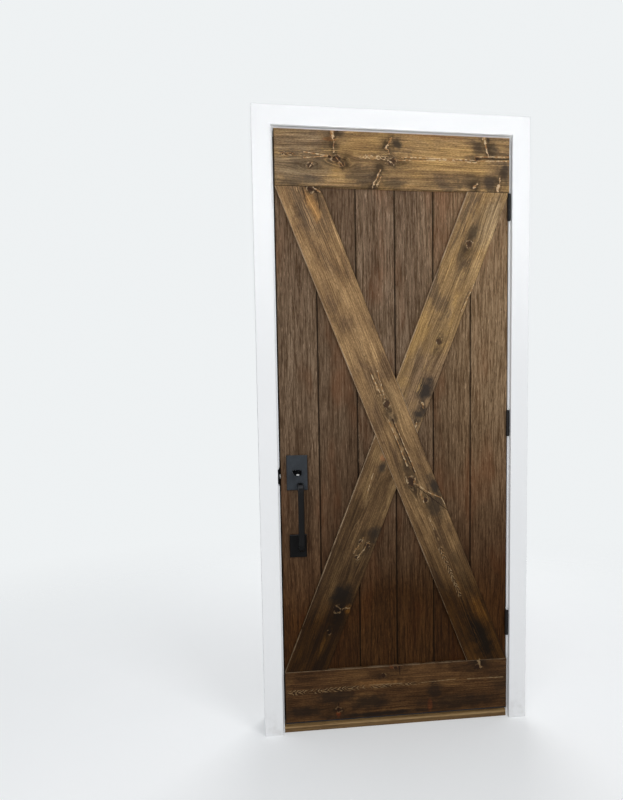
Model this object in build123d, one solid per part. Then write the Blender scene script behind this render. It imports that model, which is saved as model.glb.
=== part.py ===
from build123d import *
import math
import os

# A hinged door: a leaf of planks with an X of braces, in its jamb, casing and threshold.
# Millimetres. +X is to the right for someone in front, +Y goes into the wall, +Z is up.
# The origin is on the floor, under the middle of the threshold.

# Leaf
LEAF_WIDTH = 813.0
LEAF_HEIGHT = 2032.0
LEAF_THICK = 35.0
PLANK_COUNT = 6
PLANK_CHAMFER = 3.0
OUTER_EASE = 0.8
TONGUE_REACH = 9.0
TONGUE_THICK = 10.0
TONGUE_CLEARANCE = 0.2
BOARD_THICK = 12.7
RAIL_WIDTH = 184.0
BRACE_WIDTH = 140.0
BOARD_EASE = 1.2
SWEEP_BASE = 3.0
SWEEP_INSET = 0.6
SWEEP_FIN = 1.5
SWEEP_FIN_PITCH = 5.0
SWEEP_FIN_COUNT = 3
SWEEP_CLEARANCE = 0.4
JOIN = 0.5

# Frame
FLOOR_GAP = 40.0
LATCH_GAP = 4.0
HINGE_GAP = 3.0
HEAD_GAP = 3.0
JAMB_DEPTH = 116.0
JAMB_EDGE = 19.0
STOP_STEP = 13.0
SEAL_ROOM = 4.0
SEAL_CLEARANCE = 0.3
SEAL_MARGIN = 1.5
SEAL_ROUND = 2.0
KERF_WIDTH = 2.6
KERF_DEPTH = 8.0
STEM_CLEARANCE = 0.1
CASING_WIDTH = 63.5
CASING_THICK = 18.0
REVEAL = 6.0
CASING_EASE = 2.0
SILL_HEIGHT = 32.0
SILL_NOSE = 18.0
SILL_SLOPE = 24.0
SILL_BACK_SLOPE = 34.0
SILL_ROUND = 4.0
FIXING_RADIUS = 3.0
FIXING_FROM_FLOOR = 250.0
FIXING_FROM_TOP = 325.0
FIXING_COLUMNS = 60.0

# Hinges
HINGE_HEIGHT = 88.9
HINGE_REACH = 31.0
HINGE_PLATE = 2.4
HINGE_CORNER = 6.0
HINGE_ROLL = 0.4
KNUCKLE_COUNT = 5
KNUCKLE_RADIUS = 6.0
KNUCKLE_GAP = 0.3
AXIS_OUT = 6.5
PIN_RADIUS = 3.1
PIN_CLEARANCE = 0.05
PIN_HEAD_RADIUS = 5.5
PIN_HEAD_HEIGHT = 2.0
PIN_HEAD_ROUND = 1.5
BARREL_CLEARANCE = 0.6
BRACE_TIP_CLEARANCE = 1.0
HINGE_UNDER_BOARD = 0.8
HINGE_FROM_BOTTOM = 272.55
HINGE_MIDDLE_DROP = 10.5

# Screws
SCREW_SHANK = 2.0
SCREW_HEAD = 4.0
SCREW_LENGTH = 17.0
SCREW_ROOM = 0.1
RECESS_LENGTH = 4.2
RECESS_WIDTH = 0.9
RECESS_DEPTH = 1.4
HINGE_SCREW_ROWS = 30.0
HINGE_SCREW_NEAR = 10.0
HINGE_SCREW_FAR = 22.0

# Latch
LATCH_HEIGHT = 876.0
BACKSET = 60.0
CROSS_BORE_RADIUS = 27.0
EDGE_BORE_RADIUS = 12.7
CASE_CLEARANCE = 0.1
BOLT_DEPTH = 12.7
BOLT_HEIGHT = 14.0
BOLT_CLEARANCE = 0.3
BOLT_SLACK = 0.8
BOLT_TIP = 2.5
BOLT_STRIP = 5.0
BOLT_CRANK = 14.0
BOLT_CRANK_RUN = 7.0
BOLT_TAIL_END = 8.0
BOLT_WEB = 2.5
CAM_ARM = 13.0
CAM_TIP_RADIUS = 2.0
CAM_HUB_RADIUS = 6.5
CAM_THICK = 5.0
CAM_NECK = 3.2
CAM_MOUTH = 1.6
CAM_CLEARANCE = 0.35
LEVER_SWING = 50.0
CHEEK_THICK = 0.9
CHEEK_GAP = 0.2
CHEEK_ROOT = 2.0
CHEEK_EDGE = 2.0
FACEPLATE_HEIGHT = 57.0
FACEPLATE_WIDTH = 25.4
FACEPLATE_THICK = 2.4
FACEPLATE_CORNER = 6.0
FACEPLATE_SCREWS = 41.3
STRIKE_HEIGHT = 64.0
STRIKE_REACH = 30.0
STRIKE_THICK = 1.6
STRIKE_LIP = 4.0
STRIKE_TURN = 0.6
STRIKE_BOW = 35.8
STRIKE_BOW_OUT = 0.5
STRIKE_ROOT = 0.8
STRIKE_HOLE_HEIGHT = 20.0
STRIKE_HOLE_ROOM = 0.6
STRIKE_POCKET = 13.0
STRIKE_SCREWS = 42.0
STRIKE_SCREW_LENGTH = 15.0

# Outside handle
HANDLE_INSET = 56.0
HANDLE_PLATE_WIDTH = 72.0
HANDLE_PLATE_HEIGHT = 120.0
HANDLE_PLATE_THICK = 12.0
HANDLE_PLATE_RAISE = 13.0
HANDLE_WALL = 2.5
HANDLE_EASE = 2.0
GRIP_OFFSET = 9.5
GRIP_WIDTH = 20.0
GRIP_THICK = 13.0
GRIP_ROUND = 4.0
GRIP_BEND = 24.0
GRIP_STANDOFF = 50.0
GRIP_TOP = -29.0
GRIP_LENGTH = 224.0
FOOT_WIDTH = 59.0
FOOT_HEIGHT = 79.0
FOOT_THICK = 9.0
FOOT_DROP = 243.0
FOOT_BOLT_RADIUS = 3.0
FOOT_BOLT_BITE = 10.0
FOOT_BOLT_HEAD = 7.0
FOOT_BOLT_CAP = 3.0
FOOT_BOLT_ROUND = 1.8
FOOT_BOLT_SPARE = 1.5

# Thumb lever
THUMB_WIDTH = 26.0
THUMB_BAR = 1.9
THUMB_EYE = 3.6
THUMB_PIN = 1.5
THUMB_REACH = 47.0
THUMB_PIVOT_UP = 10.0
THUMB_PIVOT_OUT = 5.5
THUMB_SLOT_ROOM = 2.5
THUMB_SLOT_BOTTOM = 10.0
THUMB_SLOT_TOP = 22.5
THUMB_EAR = 4.0
THUMB_EAR_DOWN = 5.0
THUMB_TIP_ROUND = 10.0
THUMB_ROOT = (4.5, 7.5)
THUMB_MIDDLE = (24.0, 5.5)
THUMB_DROOP = 1.0
THUMB_DISH = 34.0
THUMB_DISH_AT = (30.0, 5.4)
FINGER_NEAR = 5.6
FINGER_FAR = 8.4
FINGER_RADIUS = 1.8
FINGER_IN = 4.9
FINGER_ELBOW = 1.0
FINGER_GAP = 0.3

# Spindle, lift arm and inside lever
SPINDLE_SIDE = 6.35
SPINDLE_ROOM = 0.05
LIFT_THICK = 3.0
LIFT_REACH = 12.0
LIFT_HUB = 5.3
LIFT_FRONT = 5.0
LIFT_DEPTH = 8.3
LIFT_FLOOR = 2.0
POST_RADIUS = 3.5
POST_PLACE = 24.0
POST_ROOM = 0.3
POST_FLOOR = 3.0
POST_SCREW = 2.0
POST_LENGTH = 27.0
ROSE_SIDE = 64.0
ROSE_THICK = 9.0
ROSE_WALL = 2.5
ROSE_EASE = 2.0
SHANK_RADIUS = 10.0
SHANK_CLEARANCE = 0.1
SHANK_INSET = 2.0
SHANK_DEEP = 14.0
SOCKET_SPARE = 0.3
INSIDE_STANDOFF = 52.0
INSIDE_LENGTH = 112.0
INSIDE_WIDTH = 20.0
INSIDE_THICK = 12.0
INSIDE_ROUND = 3.5

# Places that follow from the sizes above
FRONT = -JAMB_DEPTH / 2
REAR = JAMB_DEPTH / 2
OPENING = LATCH_GAP + LEAF_WIDTH + HINGE_GAP
OPEN_SIDE = OPENING / 2
LEAF_LEFT = LATCH_GAP - OPEN_SIDE
LEAF_RIGHT = LEAF_LEFT + LEAF_WIDTH
LEAF_BOTTOM = FLOOR_GAP
LEAF_TOP = LEAF_BOTTOM + LEAF_HEIGHT
LEAF_BACK = FRONT + LEAF_THICK
BOARD_FACE = FRONT - BOARD_THICK
OPEN_TOP = LEAF_TOP + HEAD_GAP
STOP_FACE = LEAF_BACK + SEAL_ROOM
AXIS_X = LEAF_RIGHT + HINGE_GAP / 2
AXIS_Y = FRONT - AXIS_OUT
LATCH_X = LEAF_LEFT + BACKSET
LATCH_Y = FRONT + LEAF_THICK / 2
LATCH_Z = LEAF_BOTTOM + LATCH_HEIGHT
HANDLE_X = LEAF_LEFT + HANDLE_INSET
HALF_SWING = math.radians(LEVER_SWING / 2)
BOLT_THROW = 2 * CAM_ARM * math.sin(HALF_SWING)
CASE_END = LATCH_X - math.sqrt(CROSS_BORE_RADIUS**2 - EDGE_BORE_RADIUS**2)
CHEEK_FACE = CAM_THICK / 2 + CHEEK_GAP
CHEEK_END = LATCH_X + CROSS_BORE_RADIUS - CHEEK_EDGE
FIELD_BOTTOM = LEAF_BOTTOM + RAIL_WIDTH
FIELD_TOP = LEAF_TOP - RAIL_WIDTH
HINGE_TOP = FIELD_TOP - HINGE_UNDER_BOARD - PIN_HEAD_HEIGHT - HINGE_HEIGHT / 2
HINGE_BOTTOM = LEAF_BOTTOM + HINGE_FROM_BOTTOM + HINGE_HEIGHT / 2
HINGE_MIDDLE = (HINGE_TOP + HINGE_BOTTOM) / 2 - HINGE_MIDDLE_DROP
HINGE_PLACES = {"top": HINGE_TOP, "middle": HINGE_MIDDLE, "bottom": HINGE_BOTTOM}
GRIP_X = HANDLE_X + GRIP_OFFSET
GRIP_HIGH = LATCH_Z + GRIP_TOP
GRIP_LOW = GRIP_HIGH - GRIP_LENGTH
FOOT_Z = LATCH_Z - FOOT_DROP
THUMB_SLOT = THUMB_WIDTH / 2 + THUMB_SLOT_ROOM
THUMB_Y = FRONT - THUMB_PIVOT_OUT
THUMB_Z = LATCH_Z + THUMB_PIVOT_UP


def block(x0, x1, y0, y1, z0, z1):
    """A box between two corners."""
    return Pos((x0 + x1) / 2, (y0 + y1) / 2, (z0 + z1) / 2) * Box(x1 - x0, y1 - y0, z1 - z0)


def rod(start, along, radius, length):
    """A round bar from a point, along a direction."""
    bar = Cylinder(radius, length, align=(Align.CENTER, Align.CENTER, Align.MIN))
    return Plane(origin=start, z_dir=along) * bar


def prism_up(points, z0, z1):
    """An outline in X and Y, raised from z0 to z1."""
    outline = make_face(Polyline(*[(x, y, z0) for x, y in points], close=True))
    return extrude(outline, z1 - z0, dir=(0, 0, 1))


def prism_back(points, y0, y1):
    """An outline in X and Z, run back from y0 to y1."""
    outline = make_face(Polyline(*[(x, y0, z) for x, z in points], close=True))
    return extrude(outline, y1 - y0, dir=(0, 1, 0))


def prism_across(points, x0, x1):
    """An outline in Y and Z, run across from x0 to x1."""
    outline = make_face(Polyline(*[(x0, y, z) for y, z in points], close=True))
    return extrude(outline, x1 - x0, dir=(1, 0, 0))


def plate_on_edge(x0, x1, y_mid, z_mid, width, height, corner):
    """A thin plate with rounded corners that lies across X, as on the edge of a leaf."""
    outline = Plane(origin=(x0, y_mid, z_mid), x_dir=(0, 1, 0), z_dir=(1, 0, 0))
    return extrude(outline * RectangleRounded(width, height, corner), x1 - x0, dir=(1, 0, 0))


def plate_on_face(x_mid, y0, y1, z_mid, width, height, ease):
    """A plate that lies on a face of the leaf, with its outer edges eased."""
    half_x = width / 2
    half_z = height / 2
    plate = block(x_mid - half_x, x_mid + half_x, y0, y1, z_mid - half_z, z_mid + half_z)
    outer = plate.faces().sort_by(Axis.Y)[0] if y0 < FRONT else plate.faces().sort_by(Axis.Y)[-1]
    return chamfer(outer.edges(), ease)


def screw(seat, drive, length=SCREW_LENGTH, room=0.0):
    """A countersunk screw from its seat, or, with room, the hole that it goes in."""
    base = (Align.CENTER, Align.CENTER, Align.MIN)
    sink = SCREW_HEAD - SCREW_SHANK
    head = Cone(SCREW_HEAD + room, SCREW_SHANK + room, sink, align=base)
    shank = Pos(0, 0, sink) * Cylinder(SCREW_SHANK + room, length - sink + room, align=base)
    body = head + shank
    if not room:
        body -= Box(RECESS_LENGTH, RECESS_WIDTH, 2 * RECESS_DEPTH)
        body -= Box(RECESS_WIDTH, RECESS_LENGTH, 2 * RECESS_DEPTH)
    return Plane(origin=seat, z_dir=drive) * body


# Leaf: planks


def plank(index):
    """One plank, with a tongue on its right edge and a groove in its left one."""
    width = LEAF_WIDTH / PLANK_COUNT
    left = LEAF_LEFT + index * width
    right = left + width
    first = index == 0
    last = index == PLANK_COUNT - 1
    near = OUTER_EASE if first else PLANK_CHAMFER
    far = OUTER_EASE if last else PLANK_CHAMFER
    outline = [
        (left + near, FRONT),
        (right - far, FRONT),
        (right, FRONT + far),
        (right, LEAF_BACK - far),
        (right - far, LEAF_BACK),
        (left + near, LEAF_BACK),
        (left, LEAF_BACK - near),
        (left, FRONT + near),
    ]
    piece = prism_up(outline, LEAF_BOTTOM, LEAF_TOP)
    if not last:
        half = TONGUE_THICK / 2
        tip = right + TONGUE_REACH
        piece += block(right - JOIN, tip, LATCH_Y - half, LATCH_Y + half, LEAF_BOTTOM, LEAF_TOP)
    if not first:
        half = TONGUE_THICK / 2 + TONGUE_CLEARANCE
        floor_x = left + TONGUE_REACH + TONGUE_CLEARANCE
        piece -= block(left, floor_x, LATCH_Y - half, LATCH_Y + half, LEAF_BOTTOM, LEAF_TOP)
    return piece


# Leaf: boards and braces


def eased_board(board):
    """A board with the arrises of its front face taken off."""
    return chamfer(board.faces().sort_by(Axis.Y)[0].edges(), BOARD_EASE)


def brace_span():
    """How wide a brace is along X, so that its band ends exactly in two opposite corners."""
    height = FIELD_TOP - FIELD_BOTTOM
    ratio = (height / BRACE_WIDTH) ** 2 - 1
    root = math.sqrt(LEAF_WIDTH**2 + ratio * (LEAF_WIDTH**2 + height**2))
    return (root - LEAF_WIDTH) / ratio


def brace_band(rising):
    """The whole diagonal band, from one corner of the field to the opposite one."""
    span = brace_span()
    top = LEAF_RIGHT - span if rising else LEAF_LEFT
    bottom = LEAF_LEFT if rising else LEAF_RIGHT - span
    corners = [
        (top, FIELD_TOP),
        (top + span, FIELD_TOP),
        (bottom + span, FIELD_BOTTOM),
        (bottom, FIELD_BOTTOM),
    ]
    return prism_back(corners, BOARD_FACE, FRONT)


def braces():
    """The long brace, and the two halves of the other one that butt against it."""
    long_brace = brace_band(False)
    halves = (brace_band(True) - long_brace).solids().sort_by(Axis.Z)
    tip = AXIS_X - KNUCKLE_RADIUS - BRACE_TIP_CLEARANCE
    upper = halves[-1] - block(tip, LEAF_RIGHT + 1, BOARD_FACE, FRONT, FIELD_BOTTOM, FIELD_TOP)
    return eased_board(long_brace), eased_board(Part() + upper), eased_board(Part() + halves[0])


def rail(z0):
    """The board across the top or the bottom of the leaf."""
    return eased_board(block(LEAF_LEFT, LEAF_RIGHT, BOARD_FACE, FRONT, z0, z0 + RAIL_WIDTH))


def door_sweep():
    """A flat carrier under the leaf with three soft fins that wipe over the threshold."""
    left = LEAF_LEFT + SWEEP_INSET
    right = LEAF_RIGHT - SWEEP_INSET
    top = LEAF_BOTTOM
    under = top - SWEEP_BASE
    piece = block(left, right, BOARD_FACE + SWEEP_INSET, LEAF_BACK - SWEEP_INSET, under, top)
    for step in range(SWEEP_FIN_COUNT):
        y = LEAF_BACK - SWEEP_INSET - SWEEP_FIN - step * SWEEP_FIN_PITCH
        piece += block(left, right, y, y + SWEEP_FIN, SILL_HEIGHT + SWEEP_CLEARANCE, under + JOIN)
    return piece


# Frame: jambs, seals, casing and threshold


def jamb_outline(open_side):
    """The rebated section of a jamb: across the wall, then into it."""
    return [
        (open_side, FRONT),
        (open_side + JAMB_EDGE, FRONT),
        (open_side + JAMB_EDGE, REAR),
        (open_side - STOP_STEP, REAR),
        (open_side - STOP_STEP, STOP_FACE),
        (open_side, STOP_FACE),
    ]


def kerf_span(open_side):
    """Where the saw kerf for the seal lies, in the middle of the stop."""
    middle = open_side - STOP_STEP / 2
    return middle - KERF_WIDTH / 2, middle + KERF_WIDTH / 2


def jamb_leg(side):
    """The upright jamb on one side, with its kerf and its holes for the wall screws."""
    outline = [(side * x, y) for x, y in jamb_outline(OPEN_SIDE)]
    leg = prism_up(outline, 0, OPEN_TOP + JAMB_EDGE)
    near, far = sorted(side * x for x in kerf_span(OPEN_SIDE))
    kerf_top = OPEN_TOP - STOP_STEP
    leg -= block(near, far, STOP_FACE, STOP_FACE + KERF_DEPTH, SILL_HEIGHT, kerf_top)
    for y in (-FIXING_COLUMNS / 2, FIXING_COLUMNS / 2):
        for z in (FIXING_FROM_FLOOR, OPEN_TOP - FIXING_FROM_TOP):
            start = (side * (OPEN_SIDE - STOP_STEP - 1), y, z)
            leg -= rod(start, (side, 0, 0), FIXING_RADIUS, JAMB_EDGE + STOP_STEP + 2)
    return leg


def jamb_head():
    """The head jamb, cut to the section of the legs at both ends."""
    outline = [(y, z) for z, y in jamb_outline(OPEN_TOP)]
    reach = OPEN_SIDE + JAMB_EDGE
    head = prism_across(outline, -reach, reach)
    for side in (-1, 1):
        leg = [(side * x, y) for x, y in jamb_outline(OPEN_SIDE)]
        head -= prism_up(leg, OPEN_TOP - STOP_STEP - 1, OPEN_TOP + JAMB_EDGE + 1)
    low, high = kerf_span(OPEN_TOP)
    clear = OPEN_SIDE - STOP_STEP
    return head - block(-clear, clear, STOP_FACE, STOP_FACE + KERF_DEPTH, low, high)


def seal_outline(open_side):
    """The section of a seal: a soft bulb on the stop, with a stem in the kerf."""
    near, far = kerf_span(open_side)
    near += STEM_CLEARANCE
    far -= STEM_CLEARANCE
    deep = STOP_FACE + KERF_DEPTH - STEM_CLEARANCE
    low = open_side - STOP_STEP + SEAL_MARGIN
    high = open_side - SEAL_MARGIN
    face = LEAF_BACK + SEAL_CLEARANCE
    return [
        (low, STOP_FACE),
        (low, face + SEAL_ROUND),
        (low + SEAL_ROUND, face),
        (high - SEAL_ROUND, face),
        (high, face + SEAL_ROUND),
        (high, STOP_FACE),
        (far, STOP_FACE),
        (far, deep),
        (near, deep),
        (near, STOP_FACE),
    ]


def seal_leg(side):
    """The upright seal on one side, from the threshold to the head seal."""
    outline = [(side * x, y) for x, y in seal_outline(OPEN_SIDE)]
    return prism_up(outline, SILL_HEIGHT, OPEN_TOP - STOP_STEP)


def seal_head():
    """The seal under the head jamb, above the ends of the upright ones."""
    outline = [(y, z) for z, y in seal_outline(OPEN_TOP)]
    reach = OPEN_SIDE - STOP_STEP
    return prism_across(outline, -reach, reach)


def casing_leg(side, y0, y1):
    """An upright casing board, mitred at the top."""
    inner = OPEN_SIDE + REVEAL
    outer = inner + CASING_WIDTH
    low = OPEN_TOP + REVEAL
    high = low + CASING_WIDTH
    outline = [(inner, 0), (outer, 0), (outer, high), (inner, low)]
    board = prism_back([(side * x, z) for x, z in outline], y0, y1)
    return fillet(outer_face(board, y0).edges().filter_by(Axis.Z), CASING_EASE)


def casing_head(y0, y1):
    """The casing board over the door, mitred at both ends."""
    inner = OPEN_SIDE + REVEAL
    outer = inner + CASING_WIDTH
    low = OPEN_TOP + REVEAL
    high = low + CASING_WIDTH
    board = prism_back([(-inner, low), (inner, low), (outer, high), (-outer, high)], y0, y1)
    return fillet(outer_face(board, y0).edges().filter_by(Axis.X), CASING_EASE)


def outer_face(board, y0):
    """The face of a casing board that looks away from the wall."""
    return board.faces().sort_by(Axis.Y)[0 if y0 < 0 else -1]


def threshold():
    """The wooden saddle between the jambs, scribed round their stops."""
    outline = [
        (FRONT, 0),
        (REAR, 0),
        (REAR, SILL_NOSE),
        (REAR - SILL_BACK_SLOPE, SILL_HEIGHT),
        (FRONT + SILL_SLOPE, SILL_HEIGHT),
        (FRONT, SILL_NOSE),
    ]
    sill = prism_across(outline, -OPEN_SIDE, OPEN_SIDE)
    along = sill.edges().filter_by(Axis.X)
    noses = [e for e in along if abs(e.center().Z - SILL_NOSE) < 0.01]
    sill = fillet(noses, SILL_ROUND)
    for side in (-1, 1):
        x0, x1 = sorted((side * OPEN_SIDE, side * (OPEN_SIDE - STOP_STEP)))
        sill -= block(x0, x1, STOP_FACE, REAR, 0, SILL_HEIGHT)
    return sill


# Hinges


def knuckle_span(index, z_mid):
    """The lowest and highest point of one knuckle."""
    pitch = HINGE_HEIGHT / KNUCKLE_COUNT
    low = z_mid - HINGE_HEIGHT / 2 + index * pitch
    return low + KNUCKLE_GAP / 2, low + pitch - KNUCKLE_GAP / 2


def hinge_plate(side, z_mid, y_start):
    """The flat of one hinge leaf, or the mortise it lies in; side 1 is on the jamb."""
    x0, x1 = sorted((AXIS_X + side * HINGE_GAP / 2, AXIS_X + side * (HINGE_GAP / 2 + HINGE_PLATE)))
    y_end = FRONT + HINGE_REACH
    low = z_mid - HINGE_HEIGHT / 2
    flat = block(x0, x1, y_start, y_end, low, low + HINGE_HEIGHT)
    far = flat.edges().filter_by(Axis.X).group_by(Axis.Y)[-1]
    return fillet(far, HINGE_CORNER)


def hinge_screws(side, z_mid, room=0.0):
    """The three screws of one hinge leaf, or their holes."""
    x = AXIS_X + side * HINGE_GAP / 2
    places = [(HINGE_SCREW_NEAR, -1), (HINGE_SCREW_FAR, 0), (HINGE_SCREW_NEAR, 1)]
    seats = [(x, FRONT + deep, z_mid + row * HINGE_SCREW_ROWS) for deep, row in places]
    return [screw(seat, (side, 0, 0), room=room) for seat in seats]


def hinge_leaf(side, z_mid):
    """One half of a butt hinge: the plate, and the knuckles that are rolled from it."""
    hole = PIN_RADIUS + PIN_CLEARANCE
    piece = hinge_plate(side, z_mid, AXIS_Y + hole + HINGE_ROLL)
    for index in range(KNUCKLE_COUNT):
        low, high = knuckle_span(index, z_mid)
        mine = (index % 2 == 0) == (side == 1)
        if mine:
            piece += rod((AXIS_X, AXIS_Y, low), (0, 0, 1), KNUCKLE_RADIUS, high - low)
        else:
            room = KNUCKLE_RADIUS + BARREL_CLEARANCE
            notch = high - low + 2 * KNUCKLE_GAP
            piece -= rod((AXIS_X, AXIS_Y, low - KNUCKLE_GAP), (0, 0, 1), room, notch)
    piece -= rod((AXIS_X, AXIS_Y, z_mid - HINGE_HEIGHT), (0, 0, 1), hole, 2 * HINGE_HEIGHT)
    for hole_shape in hinge_screws(side, z_mid, SCREW_ROOM):
        piece -= hole_shape
    return piece


def hinge_pin(z_mid):
    """The loose pin with its button head, and the plug under the barrel."""
    low = z_mid - HINGE_HEIGHT / 2
    high = z_mid + HINGE_HEIGHT / 2
    pin = rod((AXIS_X, AXIS_Y, low - JOIN), (0, 0, 1), PIN_RADIUS, HINGE_HEIGHT + 2 * JOIN)
    head = rod((AXIS_X, AXIS_Y, high), (0, 0, 1), PIN_HEAD_RADIUS, PIN_HEAD_HEIGHT)
    head = fillet(head.edges().group_by(Axis.Z)[-1], PIN_HEAD_ROUND)
    plug = rod((AXIS_X, AXIS_Y, low), (0, 0, -1), PIN_HEAD_RADIUS, PIN_HEAD_HEIGHT)
    plug = fillet(plug.edges().group_by(Axis.Z)[0], PIN_HEAD_ROUND)
    return pin + head + plug


# Latch


def faceplate_screws(room=0.0):
    """The two screws of the latch faceplate, or their holes."""
    seats = [(LEAF_LEFT, LATCH_Y, LATCH_Z + row * FACEPLATE_SCREWS / 2) for row in (-1, 1)]
    return [screw(seat, (1, 0, 0), room=room) for seat in seats]


def latch_faceplate():
    """The plate in the edge of the leaf that the bolt comes out of."""
    plate = plate_on_edge(
        LEAF_LEFT, LEAF_LEFT + FACEPLATE_THICK, LATCH_Y, LATCH_Z,
        FACEPLATE_WIDTH, FACEPLATE_HEIGHT, FACEPLATE_CORNER,
    )
    half_y = BOLT_DEPTH / 2 + BOLT_CLEARANCE
    half_z = BOLT_HEIGHT / 2 + BOLT_CLEARANCE
    plate -= block(
        LEAF_LEFT - 1, LEAF_LEFT + FACEPLATE_THICK + 1,
        LATCH_Y - half_y, LATCH_Y + half_y, LATCH_Z - half_z, LATCH_Z + half_z,
    )
    for hole in faceplate_screws(SCREW_ROOM):
        plate -= hole
    return plate


def latch_case():
    """The tube in the edge bore, with the two cheeks that carry the cam."""
    radius = EDGE_BORE_RADIUS - CASE_CLEARANCE
    start = LEAF_LEFT + FACEPLATE_THICK
    case = rod((start, LATCH_Y, LATCH_Z), (1, 0, 0), radius, CASE_END - start)
    half_y = BOLT_DEPTH / 2 + BOLT_CLEARANCE
    half_z = BOLT_HEIGHT / 2 + BOLT_CLEARANCE
    case -= block(
        start - 1, CASE_END + 1,
        LATCH_Y - half_y, LATCH_Y + half_y, LATCH_Z - half_z, LATCH_Z + half_z,
    )
    low = LATCH_Z - CAM_HUB_RADIUS - CHEEK_EDGE
    high = LATCH_Z + BOLT_HEIGHT / 2
    outer = CHEEK_FACE + CHEEK_THICK
    for y0, y1 in ((-outer, -CHEEK_FACE), (CHEEK_FACE, outer)):
        cheek = block(CASE_END - CHEEK_ROOT, CHEEK_END, LATCH_Y + y0, LATCH_Y + y1, low, high)
        cheek -= rod((LATCH_X, LATCH_Y + y0 - 1, LATCH_Z), (0, 1, 0), CAM_HUB_RADIUS + SPINDLE_ROOM, 3)
        case += cheek
    root = CASE_END - CHEEK_ROOT
    case += block(root, CASE_END, LATCH_Y - half_y, LATCH_Y + half_y, low, LATCH_Z - half_z)
    return case


def latch_bolt():
    """The sprung bolt: a bevelled nose, its block in the case, and the tail the cam pulls."""
    nose = LEAF_LEFT - BOLT_THROW
    half_z = BOLT_HEIGHT / 2
    front = LATCH_Y - BOLT_DEPTH / 2
    back = LATCH_Y + BOLT_DEPTH / 2
    block_end = CASE_END - CHEEK_ROOT - BOLT_THROW - BOLT_SLACK
    bevel = [
        (nose, front),
        (nose, front + BOLT_TIP),
        (LEAF_LEFT - JOIN, back),
        (block_end, back),
        (block_end, front),
    ]
    bolt = prism_up(bevel, LATCH_Z - half_z, LATCH_Z + half_z)
    tip = CAM_ARM + CAM_TIP_RADIUS
    roof = tip + BOLT_WEB
    hub = CAM_HUB_RADIUS + CHEEK_EDGE
    tail = [
        (block_end - LATCH_X, half_z - BOLT_STRIP),
        (-BOLT_CRANK - BOLT_CRANK_RUN, half_z - BOLT_STRIP),
        (-BOLT_CRANK, hub),
        (BOLT_TAIL_END, hub),
        (BOLT_TAIL_END, roof),
        (-BOLT_CRANK, roof),
        (-BOLT_CRANK - BOLT_CRANK_RUN, half_z),
        (block_end - LATCH_X, half_z),
    ]
    points = [(LATCH_X + x, LATCH_Z + z) for x, z in tail]
    bolt += prism_back(points, LATCH_Y - CAM_THICK / 2, LATCH_Y + CAM_THICK / 2)
    notch_x = LATCH_X - CAM_ARM * math.sin(HALF_SWING)
    half = CAM_TIP_RADIUS + CAM_CLEARANCE
    wide = half + CAM_MOUTH
    straight = LATCH_Z + CAM_ARM * math.cos(HALF_SWING) - CAM_CLEARANCE
    top = LATCH_Z + tip + CAM_CLEARANCE
    notch = [
        (notch_x - wide, LATCH_Z + hub),
        (notch_x - half, straight),
        (notch_x - half, top),
        (notch_x + half, top),
        (notch_x + half, straight),
        (notch_x + wide, LATCH_Z + hub),
    ]
    return bolt - prism_back(notch, LATCH_Y - CAM_THICK, LATCH_Y + CAM_THICK)


def on_spindle(shape, angle):
    """A shape drawn about the spindle's axis, turned and set in its place along Y."""
    return Pos(LATCH_X, 0, LATCH_Z) * Rot(0, angle, 0) * shape


def square_bar(side, y0, y1):
    """A square bar along Y on the spindle's axis."""
    half = side / 2
    return block(-half, half, y0, y1, -half, half)


def cam():
    """The hub in the latch cheeks, with the arm that pulls the bolt's tail."""
    y0 = LATCH_Y - CAM_THICK / 2
    outer = LATCH_Y - CHEEK_FACE - CHEEK_THICK
    hub = rod((0, outer, 0), (0, 1, 0), CAM_HUB_RADIUS, 2 * (CHEEK_FACE + CHEEK_THICK))
    arm = block(-CAM_NECK / 2, CAM_NECK / 2, y0, y0 + CAM_THICK, 0, CAM_ARM)
    tip = rod((0, y0, CAM_ARM), (0, 1, 0), CAM_TIP_RADIUS, CAM_THICK)
    body = hub + arm + tip - square_bar(SPINDLE_SIDE + 2 * SPINDLE_ROOM, outer - 1, LEAF_BACK)
    return on_spindle(body, -LEVER_SWING / 2)


def lift_arm():
    """The paddle on the front end of the spindle, which the thumb lever's finger lifts."""
    y0 = FRONT + LIFT_FRONT
    y1 = y0 + LIFT_DEPTH
    hub = rod((0, y0, 0), (0, 1, 0), LIFT_HUB, LIFT_DEPTH)
    paddle = block(-LIFT_REACH, 0, y0, y1, -LIFT_THICK / 2, LIFT_THICK / 2)
    body = hub + paddle - square_bar(SPINDLE_SIDE + 2 * SPINDLE_ROOM, y0 + LIFT_FLOOR, y1 + 1)
    return on_spindle(body, -LEVER_SWING / 2)


def spindle():
    """The square bar that joins the lift arm, the cam and the inside lever."""
    bar = square_bar(SPINDLE_SIDE, FRONT + LIFT_FRONT + LIFT_FLOOR, LEAF_BACK + SHANK_DEEP)
    return on_spindle(bar, -LEVER_SWING / 2)


# Strike


def strike_screws(room=0.0):
    """The two screws of the strike plate, or their holes."""
    seats = [(-OPEN_SIDE, LATCH_Y, LATCH_Z + row * STRIKE_SCREWS / 2) for row in (-1, 1)]
    return [screw(seat, (-1, 0, 0), length=STRIKE_SCREW_LENGTH, room=room) for seat in seats]


def strike_hole(depth):
    """The hole that the bolt shoots into, to a depth behind the jamb's face."""
    half = STRIKE_HOLE_HEIGHT / 2
    y0 = LATCH_Y - BOLT_DEPTH / 2 - STRIKE_HOLE_ROOM
    y1 = LATCH_Y + BOLT_DEPTH / 2 + STRIKE_HOLE_ROOM
    return block(-OPEN_SIDE - depth, -OPEN_SIDE + 1, y0, y1, LATCH_Z - half, LATCH_Z + half)


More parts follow.
